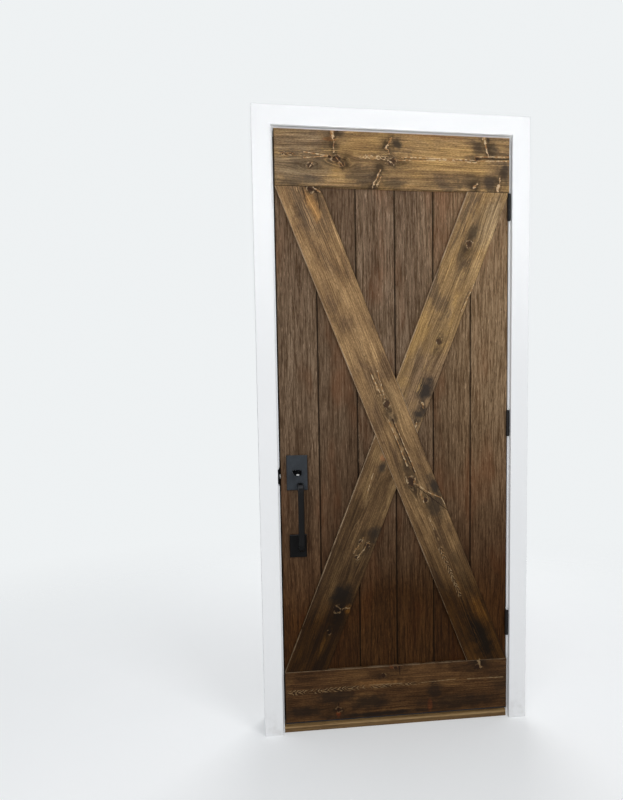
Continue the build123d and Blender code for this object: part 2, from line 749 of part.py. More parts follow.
def strike_mortise():
    """The shallow seat of the strike plate in the jamb."""
    half = STRIKE_HEIGHT / 2
    x0 = -OPEN_SIDE - STRIKE_THICK
    return block(x0, -OPEN_SIDE, FRONT - 1, FRONT + STRIKE_REACH, LATCH_Z - half, LATCH_Z + half)


def strike_plate():
    """The plate in the jamb, with a lip that curls round the jamb's front edge."""
    low = LATCH_Z - STRIKE_HEIGHT / 2
    high = LATCH_Z + STRIKE_HEIGHT / 2
    turn = FRONT - STRIKE_TURN
    face = -OPEN_SIDE - STRIKE_THICK
    centre_x = face - STRIKE_LIP
    outer = STRIKE_LIP + STRIKE_THICK
    flat = block(face, -OPEN_SIDE, turn, FRONT + STRIKE_REACH, low, high)
    curl = rod((centre_x, turn, low), (0, 0, 1), outer, STRIKE_HEIGHT)
    curl -= rod((centre_x, turn, low), (0, 0, 1), STRIKE_LIP, STRIKE_HEIGHT)
    curl -= block(centre_x - outer, centre_x + outer, turn, turn + outer, low, high)
    curl -= block(centre_x - outer, centre_x, turn - outer, turn, low, high)
    # The lip is widest in the middle and its ends are rounded off.
    bow_x = centre_x + STRIKE_BOW - STRIKE_BOW_OUT
    bow = rod((bow_x, turn - 2 * outer, LATCH_Z), (0, 1, 0), STRIKE_BOW, 2 * outer)
    root = STRIKE_ROOT * STRIKE_HEIGHT / 2
    bow += block(centre_x - outer, -OPEN_SIDE, turn - outer, turn, LATCH_Z - root, LATCH_Z + root)
    piece = flat + (curl & bow) - strike_hole(STRIKE_THICK + 1)
    for hole in strike_screws(SCREW_ROOM):
        piece -= hole
    return piece


# Outside handle


def handle_plate():
    """The cast upper plate: a shell with the lever's slot, two ears and two posts."""
    z_mid = LATCH_Z + HANDLE_PLATE_RAISE
    face = FRONT - HANDLE_PLATE_THICK
    plate = plate_on_face(
        HANDLE_X, face, FRONT, z_mid,
        HANDLE_PLATE_WIDTH, HANDLE_PLATE_HEIGHT, HANDLE_EASE,
    )
    half_x = HANDLE_PLATE_WIDTH / 2 - HANDLE_WALL
    half_z = HANDLE_PLATE_HEIGHT / 2 - HANDLE_WALL
    inner = face + HANDLE_WALL
    plate -= block(HANDLE_X - half_x, HANDLE_X + half_x, inner, FRONT, z_mid - half_z, z_mid + half_z)
    plate += block(
        GRIP_X - GRIP_WIDTH / 2, GRIP_X + GRIP_WIDTH / 2,
        inner - JOIN, FRONT, GRIP_HIGH - GRIP_THICK, GRIP_HIGH + GRIP_THICK / 2,
    )
    slot_low = LATCH_Z + THUMB_SLOT_BOTTOM
    slot_high = LATCH_Z + THUMB_SLOT_TOP
    for side in (-1, 1):
        ear = [HANDLE_X + side * reach for reach in (THUMB_SLOT + JOIN, THUMB_SLOT + JOIN + THUMB_EAR)]
        plate += block(min(ear), max(ear), inner - JOIN, FRONT, slot_low - THUMB_EAR_DOWN, slot_high)
    for x, z in rose_screw_places():
        plate += rod((x, inner - JOIN, z), (0, 1, 0), POST_RADIUS, POST_LENGTH)
        plate -= rod((x, inner + POST_FLOOR, z), (0, 1, 0), POST_SCREW + SCREW_ROOM, POST_LENGTH)
    plate -= block(HANDLE_X - THUMB_SLOT, HANDLE_X + THUMB_SLOT, face - 1, inner, slot_low, slot_high)
    pivot = (HANDLE_X - THUMB_SLOT - THUMB_EAR, THUMB_Y, THUMB_Z)
    return plate - rod(pivot, (1, 0, 0), THUMB_PIN, 2 * (THUMB_SLOT + THUMB_EAR))


def thumb_pin():
    """The pin through the two ears that the thumb lever turns on."""
    reach = THUMB_SLOT + THUMB_EAR
    return rod((HANDLE_X - reach, THUMB_Y, THUMB_Z), (1, 0, 0), THUMB_PIN, 2 * reach)


def link(p, q, radius, x0, x1):
    """A flat bar across X with rounded ends, from one point in Y and Z to another."""
    length = math.hypot(q[0] - p[0], q[1] - p[1])
    angle = math.degrees(math.atan2(q[1] - p[1], q[0] - p[0]))
    body = block(0, x1 - x0, 0, length, -radius, radius)
    body += rod((0, 0, 0), (1, 0, 0), radius, x1 - x0)
    body += rod((0, length, 0), (1, 0, 0), radius, x1 - x0)
    return Pos(x0, p[0], p[1]) * Rot(angle, 0, 0) * body


def finger_drop():
    """How far under the spindle's axis the finger's centre lies, at rest and lifted."""
    slope = math.tan(HALF_SWING)
    under = LIFT_THICK / 2 / math.cos(HALF_SWING)
    gap = FINGER_GAP + FINGER_RADIUS
    return FINGER_FAR * slope + under + gap, under + gap - FINGER_NEAR * slope


def thumb_lever():
    """The lever: a dished pad in front, an eye on the pin, and a finger under the paddle."""
    y = THUMB_Y
    z = THUMB_Z
    x0 = HANDLE_X - THUMB_WIDTH / 2
    x1 = HANDLE_X + THUMB_WIDTH / 2
    root = (y - THUMB_ROOT[0], z + THUMB_ROOT[1])
    middle = (y - THUMB_MIDDLE[0], z + THUMB_MIDDLE[1])
    end = (y - THUMB_REACH + THUMB_BAR, z - THUMB_DROOP)
    lever = rod((x0, y, z), (1, 0, 0), THUMB_EYE, THUMB_WIDTH)
    for p, q in (((y, z), root), (root, middle), (middle, end)):
        lever += link(p, q, THUMB_BAR, x0, x1)
    plan = block(x0, x1, y - THUMB_REACH, FRONT, z - THUMB_REACH, z + THUMB_REACH)
    tips = plan.edges().filter_by(Axis.Z).group_by(Axis.Y)[0]
    lever &= fillet(tips, THUMB_TIP_ROUND)
    dish_z = z + THUMB_DISH_AT[1] + THUMB_DISH
    lever -= Pos(HANDLE_X, y - THUMB_DISH_AT[0], dish_z) * Sphere(THUMB_DISH)
    under = LATCH_Z - finger_drop()[0]
    elbow = (FRONT - FINGER_ELBOW, under)
    for p, q in (((y, z), elbow), (elbow, (FRONT + FINGER_IN, under))):
        lever += link(p, q, FINGER_RADIUS, LATCH_X - FINGER_FAR, LATCH_X - FINGER_NEAR)
    return lever - rod((x0 - 1, y, z), (1, 0, 0), THUMB_PIN + PIN_CLEARANCE, THUMB_WIDTH + 2)


def handle_grip():
    """The pull: one bar with rounded edges, bent from the plate down to the foot."""
    path = FilletPolyline(
        (GRIP_X, FRONT - HANDLE_PLATE_THICK, GRIP_HIGH),
        (GRIP_X, FRONT - GRIP_STANDOFF, GRIP_HIGH),
        (GRIP_X, FRONT - GRIP_STANDOFF, GRIP_LOW),
        (GRIP_X, FRONT - FOOT_THICK, GRIP_LOW),
        radius=GRIP_BEND,
    )
    root = (GRIP_X, FRONT - HANDLE_PLATE_THICK, GRIP_HIGH)
    start = Plane(origin=root, x_dir=(1, 0, 0), z_dir=(0, -1, 0))
    grip = sweep(start * RectangleRounded(GRIP_WIDTH, GRIP_THICK, GRIP_ROUND), path=path)
    return grip - foot_bolt_hole()


def foot_bolt_hole():
    """The way of the foot's bolt through the leaf and the foot, into the end of the grip."""
    start = (GRIP_X, LEAF_BACK + 1, GRIP_LOW)
    length = LEAF_THICK + FOOT_THICK + FOOT_BOLT_BITE + FOOT_BOLT_SPARE
    return rod(start, (0, -1, 0), FOOT_BOLT_RADIUS + SCREW_ROOM, length)


def foot_bolt():
    """The bolt from inside that holds the foot and the lower end of the grip."""
    start = (GRIP_X, LEAF_BACK, GRIP_LOW)
    bolt = rod(start, (0, -1, 0), FOOT_BOLT_RADIUS, LEAF_THICK + FOOT_THICK + FOOT_BOLT_BITE)
    cap = rod(start, (0, 1, 0), FOOT_BOLT_HEAD, FOOT_BOLT_CAP)
    return bolt + fillet(cap.edges().group_by(Axis.Y)[-1], FOOT_BOLT_ROUND)


def handle_foot():
    """The lower plate that the grip stands on."""
    face = FRONT - FOOT_THICK
    plate = plate_on_face(HANDLE_X, face, FRONT, FOOT_Z, FOOT_WIDTH, FOOT_HEIGHT, HANDLE_EASE)
    return plate - foot_bolt_hole()


# Inside handle


def rose_screw_places():
    """Where the two through screws of the rose run."""
    return [(LATCH_X + side * POST_PLACE, LATCH_Z + side * POST_PLACE) for side in (-1, 1)]


def inside_rose():
    """The square rose on the back of the leaf, a shell with a round hole for the shank."""
    back = LEAF_BACK + ROSE_THICK
    rose = plate_on_face(LATCH_X, LEAF_BACK, back, LATCH_Z, ROSE_SIDE, ROSE_SIDE, ROSE_EASE)
    half = ROSE_SIDE / 2 - ROSE_WALL
    floor_y = back - ROSE_WALL
    rose -= block(LATCH_X - half, LATCH_X + half, LEAF_BACK, floor_y, LATCH_Z - half, LATCH_Z + half)
    hole = SHANK_RADIUS + SHANK_CLEARANCE
    rose -= rod((LATCH_X, LEAF_BACK, LATCH_Z), (0, 1, 0), hole, ROSE_THICK + 1)
    for x, z in rose_screw_places():
        rose -= screw((x, back, z), (0, -1, 0), length=LEAF_THICK, room=SCREW_ROOM)
    return rose


def rose_screws():
    """The two long screws from the rose into the posts of the outside plate."""
    back = LEAF_BACK + ROSE_THICK
    length = ROSE_THICK + LEAF_THICK - ROSE_WALL
    return [screw((x, back, z), (0, -1, 0), length=length) for x, z in rose_screw_places()]


def inside_lever():
    """The inside lever: a round shank that turns in the rose, and a flat bar."""
    end = LEAF_BACK + INSIDE_STANDOFF
    inset = LEAF_BACK + SHANK_INSET
    shank = rod((LATCH_X, inset, LATCH_Z), (0, 1, 0), SHANK_RADIUS, end - inset - INSIDE_THICK / 2)
    half = INSIDE_WIDTH / 2
    left = LATCH_X - half
    bar = block(left, left + INSIDE_LENGTH, end - INSIDE_THICK, end, LATCH_Z - half, LATCH_Z + half)
    bar = fillet(bar.edges(), INSIDE_ROUND)
    side = SPINDLE_SIDE + 2 * SPINDLE_ROOM
    socket = square_bar(side, LEAF_BACK, LEAF_BACK + SHANK_DEEP + SOCKET_SPARE)
    return shank + bar - on_spindle(socket, -LEVER_SWING / 2)


# Cuts that the hardware needs in the wood


def cut_lock_stile(piece):
    """The plank that holds the latch, with its bores, mortise and bolt hole."""
    piece -= rod((LATCH_X, FRONT - 1, LATCH_Z), (0, 1, 0), CROSS_BORE_RADIUS, LEAF_THICK + 2)
    piece -= rod((LEAF_LEFT - 1, LATCH_Y, LATCH_Z), (1, 0, 0), EDGE_BORE_RADIUS, BACKSET)
    piece -= plate_on_edge(
        LEAF_LEFT - 1, LEAF_LEFT + FACEPLATE_THICK, LATCH_Y, LATCH_Z,
        FACEPLATE_WIDTH, FACEPLATE_HEIGHT, FACEPLATE_CORNER,
    )
    for hole in faceplate_screws(SCREW_ROOM):
        piece -= hole
    for x, z in rose_screw_places():
        piece -= rod((x, FRONT - 1, z), (0, 1, 0), POST_RADIUS + POST_ROOM, LEAF_THICK + 2)
    return piece - foot_bolt_hole()


def cut_hinge_seats(piece, side):
    """A plank or jamb with the mortises and pilot holes of the three hinges."""
    for z_mid in HINGE_PLACES.values():
        piece -= hinge_plate(side, z_mid, FRONT - 1)
        for hole in hinge_screws(side, z_mid, SCREW_ROOM):
            piece -= hole
    return piece


def cut_strike_seat(piece):
    """The latch jamb with the strike's mortise, pocket and pilot holes."""
    piece -= strike_mortise()
    piece -= strike_hole(STRIKE_POCKET)
    for hole in strike_screws(SCREW_ROOM):
        piece -= hole
    return piece


def model():
    """Every piece by its name."""
    nodes = {}
    planks = [plank(index) for index in range(PLANK_COUNT)]
    planks[0] = cut_lock_stile(planks[0])
    planks[-1] = cut_hinge_seats(planks[-1], -1)
    for index, piece in enumerate(planks):
        nodes[f"plank_{index + 1}"] = piece
    nodes["board_top"] = rail(FIELD_TOP)
    nodes["board_bottom"] = rail(LEAF_BOTTOM)
    nodes["brace_long"], nodes["brace_upper"], nodes["brace_lower"] = braces()
    nodes["door_sweep"] = door_sweep()
    nodes["jamb_left"] = cut_strike_seat(jamb_leg(-1))
    nodes["jamb_right"] = cut_hinge_seats(jamb_leg(1), 1)
    nodes["jamb_head"] = jamb_head()
    nodes["weatherstrip_left"] = seal_leg(-1)
    nodes["weatherstrip_right"] = seal_leg(1)
    nodes["weatherstrip_head"] = seal_head()
    for name, y0, y1 in (("front", FRONT - CASING_THICK, FRONT), ("rear", REAR, REAR + CASING_THICK)):
        nodes[f"casing_{name}_left"] = casing_leg(-1, y0, y1)
        nodes[f"casing_{name}_right"] = casing_leg(1, y0, y1)
        nodes[f"casing_{name}_head"] = casing_head(y0, y1)
    nodes["threshold"] = threshold()
    jamb_screws = []
    leaf_screws = []
    for place, z_mid in HINGE_PLACES.items():
        nodes[f"hinge_jamb_leaf_{place}"] = hinge_leaf(1, z_mid)
        nodes[f"hinge_door_leaf_{place}"] = hinge_leaf(-1, z_mid)
        nodes[f"hinge_pin_{place}"] = hinge_pin(z_mid)
        jamb_screws += hinge_screws(1, z_mid)
        leaf_screws += hinge_screws(-1, z_mid)
    nodes["hinge_jamb_screws"] = Compound(jamb_screws)
    nodes["hinge_door_screws"] = Compound(leaf_screws)
    nodes["strike_plate"] = strike_plate()
    nodes["strike_screws"] = Compound(strike_screws())
    nodes["latch_faceplate"] = latch_faceplate()
    nodes["faceplate_screws"] = Compound(faceplate_screws())
    nodes["latch_case"] = latch_case()
    nodes["latch_bolt"] = latch_bolt()
    nodes["latch_cam"] = cam()
    nodes["lift_arm"] = lift_arm()
    nodes["spindle"] = spindle()
    nodes["handle_plate"] = handle_plate()
    nodes["thumb_pin"] = thumb_pin()
    nodes["thumb_lever"] = thumb_lever()
    nodes["handle_grip"] = handle_grip()
    nodes["handle_foot"] = handle_foot()
    nodes["foot_bolt"] = foot_bolt()
    nodes["inside_rose"] = inside_rose()
    nodes["rose_screws"] = Compound(rose_screws())
    nodes["inside_lever"] = inside_lever()
    return nodes


os.makedirs("parts", exist_ok=True)
for node, shape in model().items():
    export_step(shape, f"parts/{node}.step")
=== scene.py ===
import math

import bmesh
import bpy
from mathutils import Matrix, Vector

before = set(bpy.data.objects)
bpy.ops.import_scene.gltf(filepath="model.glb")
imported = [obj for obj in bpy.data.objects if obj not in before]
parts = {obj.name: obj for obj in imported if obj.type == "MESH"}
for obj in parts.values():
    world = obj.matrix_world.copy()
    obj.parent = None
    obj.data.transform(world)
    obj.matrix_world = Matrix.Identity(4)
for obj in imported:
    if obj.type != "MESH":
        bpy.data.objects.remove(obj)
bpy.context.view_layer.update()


# The view: a camera at chest height, a little left of the door and tipped slightly down.
# The lens and its small shift are those of the photograph.
camera_data = bpy.data.cameras.new("viewer")
camera_data.sensor_width = 36.0
camera_data.lens = 30.2445
camera_data.shift_x = -0.0455
camera_data.shift_y = 0.0825
camera_data.clip_end = 60.0
viewer = bpy.data.objects.new("viewer", camera_data)
viewer.location = (-0.496, -2.3767, 1.140)
viewer.rotation_euler = (math.radians(85.2936), math.radians(0.7535), math.radians(-8.0330))
bpy.context.scene.collection.objects.link(viewer)
bpy.context.scene.camera = viewer
bpy.context.scene.view_settings.view_transform = "Standard"


# The light: a broad soft lamp high on the right in front, a lower one on the left, a weak beam
# from the floor that reaches up under the head, and one behind.
def soft_lamp(name, place, aim, size, watts, depth=None, beam=180.0):
    """A soft lamp at a place, turned towards a point, square or with a depth of its own."""
    data = bpy.data.lights.new(name, "AREA")
    data.shape = "RECTANGLE"
    data.size = size
    data.size_y = depth or size
    data.spread = math.radians(beam)
    data.energy = watts
    lamp = bpy.data.objects.new(name, data)
    lamp.location = place
    lamp.rotation_euler = (Vector(aim) - Vector(place)).to_track_quat("-Z", "Y").to_euler()
    lamp.visible_camera = False
    bpy.context.scene.collection.objects.link(lamp)


soft_lamp("window_light", (1.5, -3.4, 2.9), (0.0, 0.0, 1.2), 1.6, 54.0)
soft_lamp("low_light", (-1.4, -3.2, 1.25), (0.0, 0.0, 1.1), 1.5, 36.0)
soft_lamp("head_light", (0.0, -0.9, 0.05), (0.0, -0.07, 2.10), 1.3, 0.8, depth=0.3, beam=18.0)
soft_lamp("back_light", (0.8, 3.4, 3.0), (0.0, 0.0, 1.2), 2.4, 76.0)


# The room's air: even pale light, and a near-white background that glossy things show too.
# The class writes the shader nodes of the air here, and of every finish below.
class Shade:
    """A node tree being filled, with short calls for the nodes that go into it."""

    def __init__(self, tree):
        self.tree = tree

    def link(self, value, socket):
        """A value led into a socket, such as a shared effect's output."""
        self.tree.links.new(value, socket)

    def fill(self, socket, value):
        """A socket filled with a plain value, or with what another socket gives."""
        if isinstance(value, bpy.types.NodeSocket):
            self.link(value, socket)
        else:
            socket.default_value = value

    def node(self, kind, sockets=None, **settings):
        """A node of a kind, with its settings, and its sockets set to values or linked."""
        made = self.tree.nodes.new(kind)
        for key, value in settings.items():
            setattr(made, key, value)
        for key, value in (sockets or {}).items():
            self.fill(made.inputs[key], value)
        return made

    def math(self, operation, first, second=0.0, third=0.0, clamp=False):
        """Arithmetic on up to three numbers."""
        sockets = {0: first, 1: second, 2: third}
        made = self.node("ShaderNodeMath", sockets, operation=operation, use_clamp=clamp)
        return made.outputs[0]

    def noise(self, where, scale, detail=2.0, roughness=0.5, distortion=0.0):
        """Cloudy noise at a place, from nought to one."""
        sockets = {
            "Vector": where, "Scale": scale, "Detail": detail,
            "Roughness": roughness, "Distortion": distortion,
        }
        return self.node("ShaderNodeTexNoise", sockets).outputs["Fac"]

    def vector(self, operation, first, second=(0.0, 0.0, 0.0)):
        """A place from one or two places, or a number for a length, distance or dot product."""
        made = self.node("ShaderNodeVectorMath", {0: first, 1: second}, operation=operation)
        measured = operation in ("LENGTH", "DISTANCE", "DOT_PRODUCT")
        return made.outputs["Value" if measured else "Vector"]

    def stretch(self, where, x, y, z):
        """The same place with each coordinate multiplied by its own number."""
        return self.vector("MULTIPLY", where, (x, y, z))

    def ramp(self, value, low, high, smooth=True):
        """Nought below low, one above high, and a soft rise between them."""
        sockets = {"Value": value, "From Min": low, "From Max": high}
        kind = "SMOOTHSTEP" if smooth else "LINEAR"
        return self.node("ShaderNodeMapRange", sockets, interpolation_type=kind).outputs[0]

    def mix(self, share, first, second, blend="MIX"):
        """Two colours blended by a share."""
        made = self.node("ShaderNodeMix", {0: share}, data_type="RGBA", blend_type=blend)
        for slot, colour in ((6, first), (7, second)):
            plain = not isinstance(colour, bpy.types.NodeSocket)
            self.fill(made.inputs[slot], (*colour, 1.0) if plain else colour)
        return made.outputs[2]

    def tinted(self, colour, by):
        """A colour multiplied by another."""
        return self.mix(1.0, colour, by, blend="MULTIPLY")

    def axes(self, where):
        """The three coordinates of a place."""
        return self.node("ShaderNodeSeparateXYZ", {0: where}).outputs

    def place(self, x, y, z):
        """A place from three coordinates."""
        return self.node("ShaderNodeCombineXYZ", {0: x, 1: y, 2: z}).outputs[0]

    def grain_place(self, along, stretch, seed, across, fineness):
        """A place for noise that is long along the grain and fine across it."""
        long = self.math("MULTIPLY", along, stretch)
        return self.place(long, seed, self.math("MULTIPLY", across, fineness))

    def close_to(self, value, middle, outer, inner):
        """One where a value lies within inner of a middle, nought from outer on."""
        away = self.math("ABSOLUTE", self.math("SUBTRACT", value, middle))
        return self.ramp(away, outer, inner)

    def group(self, shared, **sockets):
        """A shared effect, with its inputs by name."""
        return self.node("ShaderNodeGroup", sockets, node_tree=shared).outputs

    def seen_directly(self):
        """One for rays from the eye, a reflection or glass, nought for the light's own."""
        path = self.tree.nodes.new("ShaderNodeLightPath")
        seen = self.math("MAXIMUM", path.outputs["Is Camera Ray"], path.outputs["Is Glossy Ray"])
        return self.math("MAXIMUM", seen, path.outputs["Is Transmission Ray"])


air = bpy.data.worlds.new("room_air")
air.use_nodes = True
air.node_tree.nodes.clear()
shade = Shade(air.node_tree)
lit = shade.node("ShaderNodeBackground", {"Color": (0.93, 0.96, 1.0, 1.0), "Strength": 0.42})
seen = shade.node("ShaderNodeBackground", {"Color": (0.86, 0.885, 0.895, 1.0), "Strength": 1.0})
both = shade.node("ShaderNodeMixShader", {0: shade.seen_directly(), 1: lit.outputs[0], 2: seen.outputs[0]})
shade.node("ShaderNodeOutputWorld", {"Surface": both.outputs[0]})
bpy.context.scene.world = air


# The floor: a plain pale disc that keeps the door's shadow and fades out far from it.
# It glows a little for the eye alone, so that it meets the background without a line.
FLOOR_RADIUS = 9.0
FLOOR_WHOLE = 0.8
FLOOR_GONE = 4.0
FLOOR_GLOW = 0.26


def finish_named(name):
    """An empty material, and the shade that fills it."""
    material = bpy.data.materials.new(name)
    material.use_nodes = True
    material.node_tree.nodes.clear()
    return material, Shade(material.node_tree)


floor_mesh = bpy.data.meshes.new("floor")
disc = bmesh.new()
bmesh.ops.create_circle(disc, cap_ends=True, radius=FLOOR_RADIUS, segments=96)
disc.to_mesh(floor_mesh)
disc.free()
floor = bpy.data.objects.new("floor", floor_mesh)
floor.location = (0.0, 0.0, -0.0005)
bpy.context.scene.collection.objects.link(floor)

floor_finish, shade = finish_named("pale_floor")
spot = shade.node("ShaderNodeTexCoord").outputs["Object"]
cloudy = shade.noise(spot, 3.0, 4.0)
pale = shade.mix(cloudy, (0.73, 0.735, 0.74), (0.76, 0.76, 0.76))
matt = shade.node("ShaderNodeBsdfDiffuse", {"Color": pale})
sheen = shade.math("MULTIPLY", shade.seen_directly(), FLOOR_GLOW)
glow = shade.node("ShaderNodeEmission", {"Color": (0.96, 0.99, 1.0, 1.0), "Strength": sheen})
lifted = shade.node("ShaderNodeAddShader", {0: matt.outputs[0], 1: glow.outputs[0]})
far = shade.vector("LENGTH", spot)
gone = shade.ramp(far, FLOOR_WHOLE, FLOOR_GONE)
clear = shade.node("ShaderNodeBsdfTransparent")
faded = shade.node("ShaderNodeMixShader", {0: gone, 1: lifted.outputs[0], 2: clear.outputs[0]})
shade.node("ShaderNodeOutputMaterial", {"Surface": faded.outputs[0]})
floor_mesh.materials.append(floor_finish)


# The jambs and the casing: planed softwood, primed and brushed with satin white paint.
# The paint shows faint brush marks along each board, and a little grey near the floor.
def dress(names, finish):
    """Gives a finish to every slot of some of the door's drawn pieces."""
    for name in names:
        for slot in parts[name].material_slots:
            slot.material = finish


def group_named(name, inputs, outputs):
    """An empty shared effect, the shade that fills it, its inputs and its outputs."""
    made = bpy.data.node_groups.new(name, "ShaderNodeTree")
    kinds = {"value": "NodeSocketFloat", "colour": "NodeSocketColor", "vector": "NodeSocketVector"}
    for label, kind in inputs:
        made.interface.new_socket(name=label, in_out="INPUT", socket_type=kinds[kind])
    for label, kind in outputs:
        made.interface.new_socket(name=label, in_out="OUTPUT", socket_type=kinds[kind])
    entry = made.nodes.new("NodeGroupInput")
    exit_node = made.nodes.new("NodeGroupOutput")
    return made, Shade(made), entry.outputs, exit_node.inputs


GRIME_HEIGHT = 0.16

brushed, shade, given, result = group_named(
    "brush_marks", [("Place", "vector"), ("Along", "vector")], [("Marks", "value"), ("Grime", "value")]
)
run = shade.vector("MULTIPLY", given["Place"], given["Along"])
bristles = shade.noise(run, 1.0, 3.0, 0.6)
shade.link(bristles, result["Marks"])
height = shade.axes(given["Place"])[2]
low = shade.ramp(height, GRIME_HEIGHT, 0.0)
scuffs = shade.ramp(shade.noise(given["Place"], 22.0, 4.0), 0.5, 0.75)
shade.link(shade.math("MULTIPLY", low, scuffs), result["Grime"])


def white_paint(name, along):
    """Satin white paint whose brush marks run along one axis."""
    finish, shade = finish_named(name)
    spot = shade.node("ShaderNodeTexCoord").outputs["Object"]
    marks = shade.group(brushed, Place=spot, Along=along)
    uneven = shade.noise(spot, 2.2, 2.0)
    white = shade.mix(uneven, (0.79, 0.80, 0.805), (0.83, 0.835, 0.84))
    white = shade.mix(shade.math("MULTIPLY", marks["Grime"], 0.35), white, (0.50, 0.48, 0.45))
    height = shade.math("ADD", marks["Marks"], shade.math("MULTIPLY", uneven, 0.5))
    bump = shade.node("ShaderNodeBump", {"Strength": 0.12, "Distance": 0.0004, "Height": height})
    satin = shade.node("ShaderNodeBsdfPrincipled", {
        "Base Color": white,
        "Roughness": shade.ramp(marks["Marks"], -1.4, 1.9, smooth=False),
        "Normal": bump.outputs[0],
    })
    shade.node("ShaderNodeOutputMaterial", {"Surface": satin.outputs[0]})
    return finish


UPRIGHTS = (
    "jamb_left", "jamb_right", "casing_front_left", "casing_front_right",
    "casing_rear_left", "casing_rear_right",
)
LEVELS = ("jamb_head", "casing_front_head", "casing_rear_head")
dress(UPRIGHTS, white_paint("white_paint_upright", (420.0, 420.0, 5.0)))
dress(LEVELS, white_paint("white_paint_level", (5.0, 420.0, 420.0)))


# The weatherstrips: soft foam in a black skin, pushed into a kerf in each stop.
# The skin is slightly puckered.
seal_finish, shade = finish_named("seal_skin")
spot = shade.node("ShaderNodeTexCoord").outputs["Object"]
pucker = shade.noise(shade.stretch(spot, 90.0, 90.0, 260.0), 1.0, 3.0)
skin = shade.mix(pucker, (0.010, 0.009, 0.009), (0.024, 0.022, 0.021))
bump = shade.node("ShaderNodeBump", {"Strength": 0.3, "Distance": 0.0005, "Height": pucker})
soft = shade.node("ShaderNodeBsdfPrincipled", {
    "Base Color": skin,
    "Roughness": 0.75,
    "Specular IOR Level": 0.10,
    "Normal": bump.outputs[0],
})
shade.node("ShaderNodeOutputMaterial", {"Surface": soft.outputs[0]})
dress(("weatherstrip_left", "weatherstrip_right", "weatherstrip_head"), seal_finish)


# The planks: tongue-and-groove boards of an open-pored hardwood, stained brown.
# The pores run up and down, each plank has its own tone, and the foot is darker: more stain and painted
# shade.
LEAF_LEFT = -0.406
LEAF_FOOT = 0.040
LEAF_WIDTH = 0.813
PLANK_COUNT = 6
PLANK_WIDTH = LEAF_WIDTH / PLANK_COUNT
PLANK_FACE = -0.058
PLANK_SHADE_AND_SOAK = (0.370, 0.225, 0.095, 1.0)
DARKENING_ENDS = 1.35
DARKENING_FULL = 0.45
PAINTED_LIGHT_FROM = 0.02
PAINTED_LIGHT_FULL = 0.33
POOL_EDGE = 0.30
POOL_MIDDLE = 0.12

# Darker and redder towards the foot: partly deeper stain, partly painted shade of the light falling off
# towards the floor.
foot_shade_and_stain, shade, given, result = group_named(
    "foot_shade_and_stain",
    [("Place", "vector"), ("Colour", "colour"), ("Soak", "colour"), ("Curve", "value")],
    [("Colour", "colour"), ("Depth", "value")],
)
height = shade.axes(given["Place"])[2]
sway = shade.math("MULTIPLY", shade.noise(given["Place"], 3.0, 2.0), 0.30)
level = shade.math("ADD", height, shade.math("SUBTRACT", sway, 0.15))
depth = shade.math("POWER", shade.ramp(level, DARKENING_ENDS, DARKENING_FULL, smooth=False), given["Curve"])
soaked = shade.tinted(given["Colour"], given["Soak"])
shade.link(shade.mix(depth, given["Colour"], soaked), result["Colour"])
shade.link(depth, result["Depth"])

# Slanted edges facing the Toward side are painted lighter, partly wear and partly painted highlight; the
# other slanted edges are painted darker, partly soil and partly painted shade.
edges, shade, given, result = group_named(
    "edge_scuffs_and_light",
    [("Facing", "vector"), ("Place", "vector"), ("Toward", "vector")],
    [("WornAndLit", "value"), ("SoiledAndShaded", "value")],
)
turned = shade.axes(shade.vector("ABSOLUTE", given["Facing"]))
straight = shade.math("MAXIMUM", turned[0], shade.math("MAXIMUM", turned[1], turned[2]))
oblique = shade.ramp(straight, 0.90, 0.80)
toward = shade.vector("DOT_PRODUCT", given["Facing"], given["Toward"])
rubbed_and_lit = shade.ramp(toward, 0.34, 0.50)
chips = shade.ramp(shade.noise(given["Place"], 45.0, 3.0), 0.30, 0.50)
worn_and_lit = shade.math("MULTIPLY", shade.math("MULTIPLY", oblique, rubbed_and_lit), chips)
shade.link(worn_and_lit, result["WornAndLit"])
soiled_and_shaded = shade.math("MULTIPLY", oblique, shade.math("SUBTRACT", 1.0, rubbed_and_lit))
shade.link(soiled_and_shaded, result["SoiledAndShaded"])

pores, shade, given, result = group_named(
    "open_pores",
    [("Board", "vector"), ("Seed", "value")],
    [("Pores", "value"), ("Flecks", "value"), ("Streaks", "value"), ("Tone", "value")],
)
along, _, across = shade.axes(given["Board"])
slow = shade.place(shade.math("MULTIPLY", along, 1.3), given["Seed"], across)
line = shade.math("MULTIPLY_ADD", shade.noise(slow, 1.0), 0.03, across)
dashes = shade.grain_place(along, 44.0, given["Seed"], line, 430.0)
shade.link(shade.ramp(shade.noise(dashes, 1.0, 2.0, 0.6), 0.52, 0.68), result["Pores"])
bits = shade.grain_place(along, 34.0, given["Seed"], line, 310.0)
shade.link(shade.ramp(shade.noise(bits, 1.0, 3.0, 0.7), 0.55, 0.72), result["Flecks"])
wide = shade.grain_place(along, 9.0, given["Seed"], line, 170.0)
shade.link(shade.noise(wide, 1.0, 5.0, 0.75), result["Streaks"])
broad = shade.grain_place(along, 1.6, given["Seed"], line, 18.0)
shade.link(shade.noise(broad, 1.0, 2.0), result["Tone"])

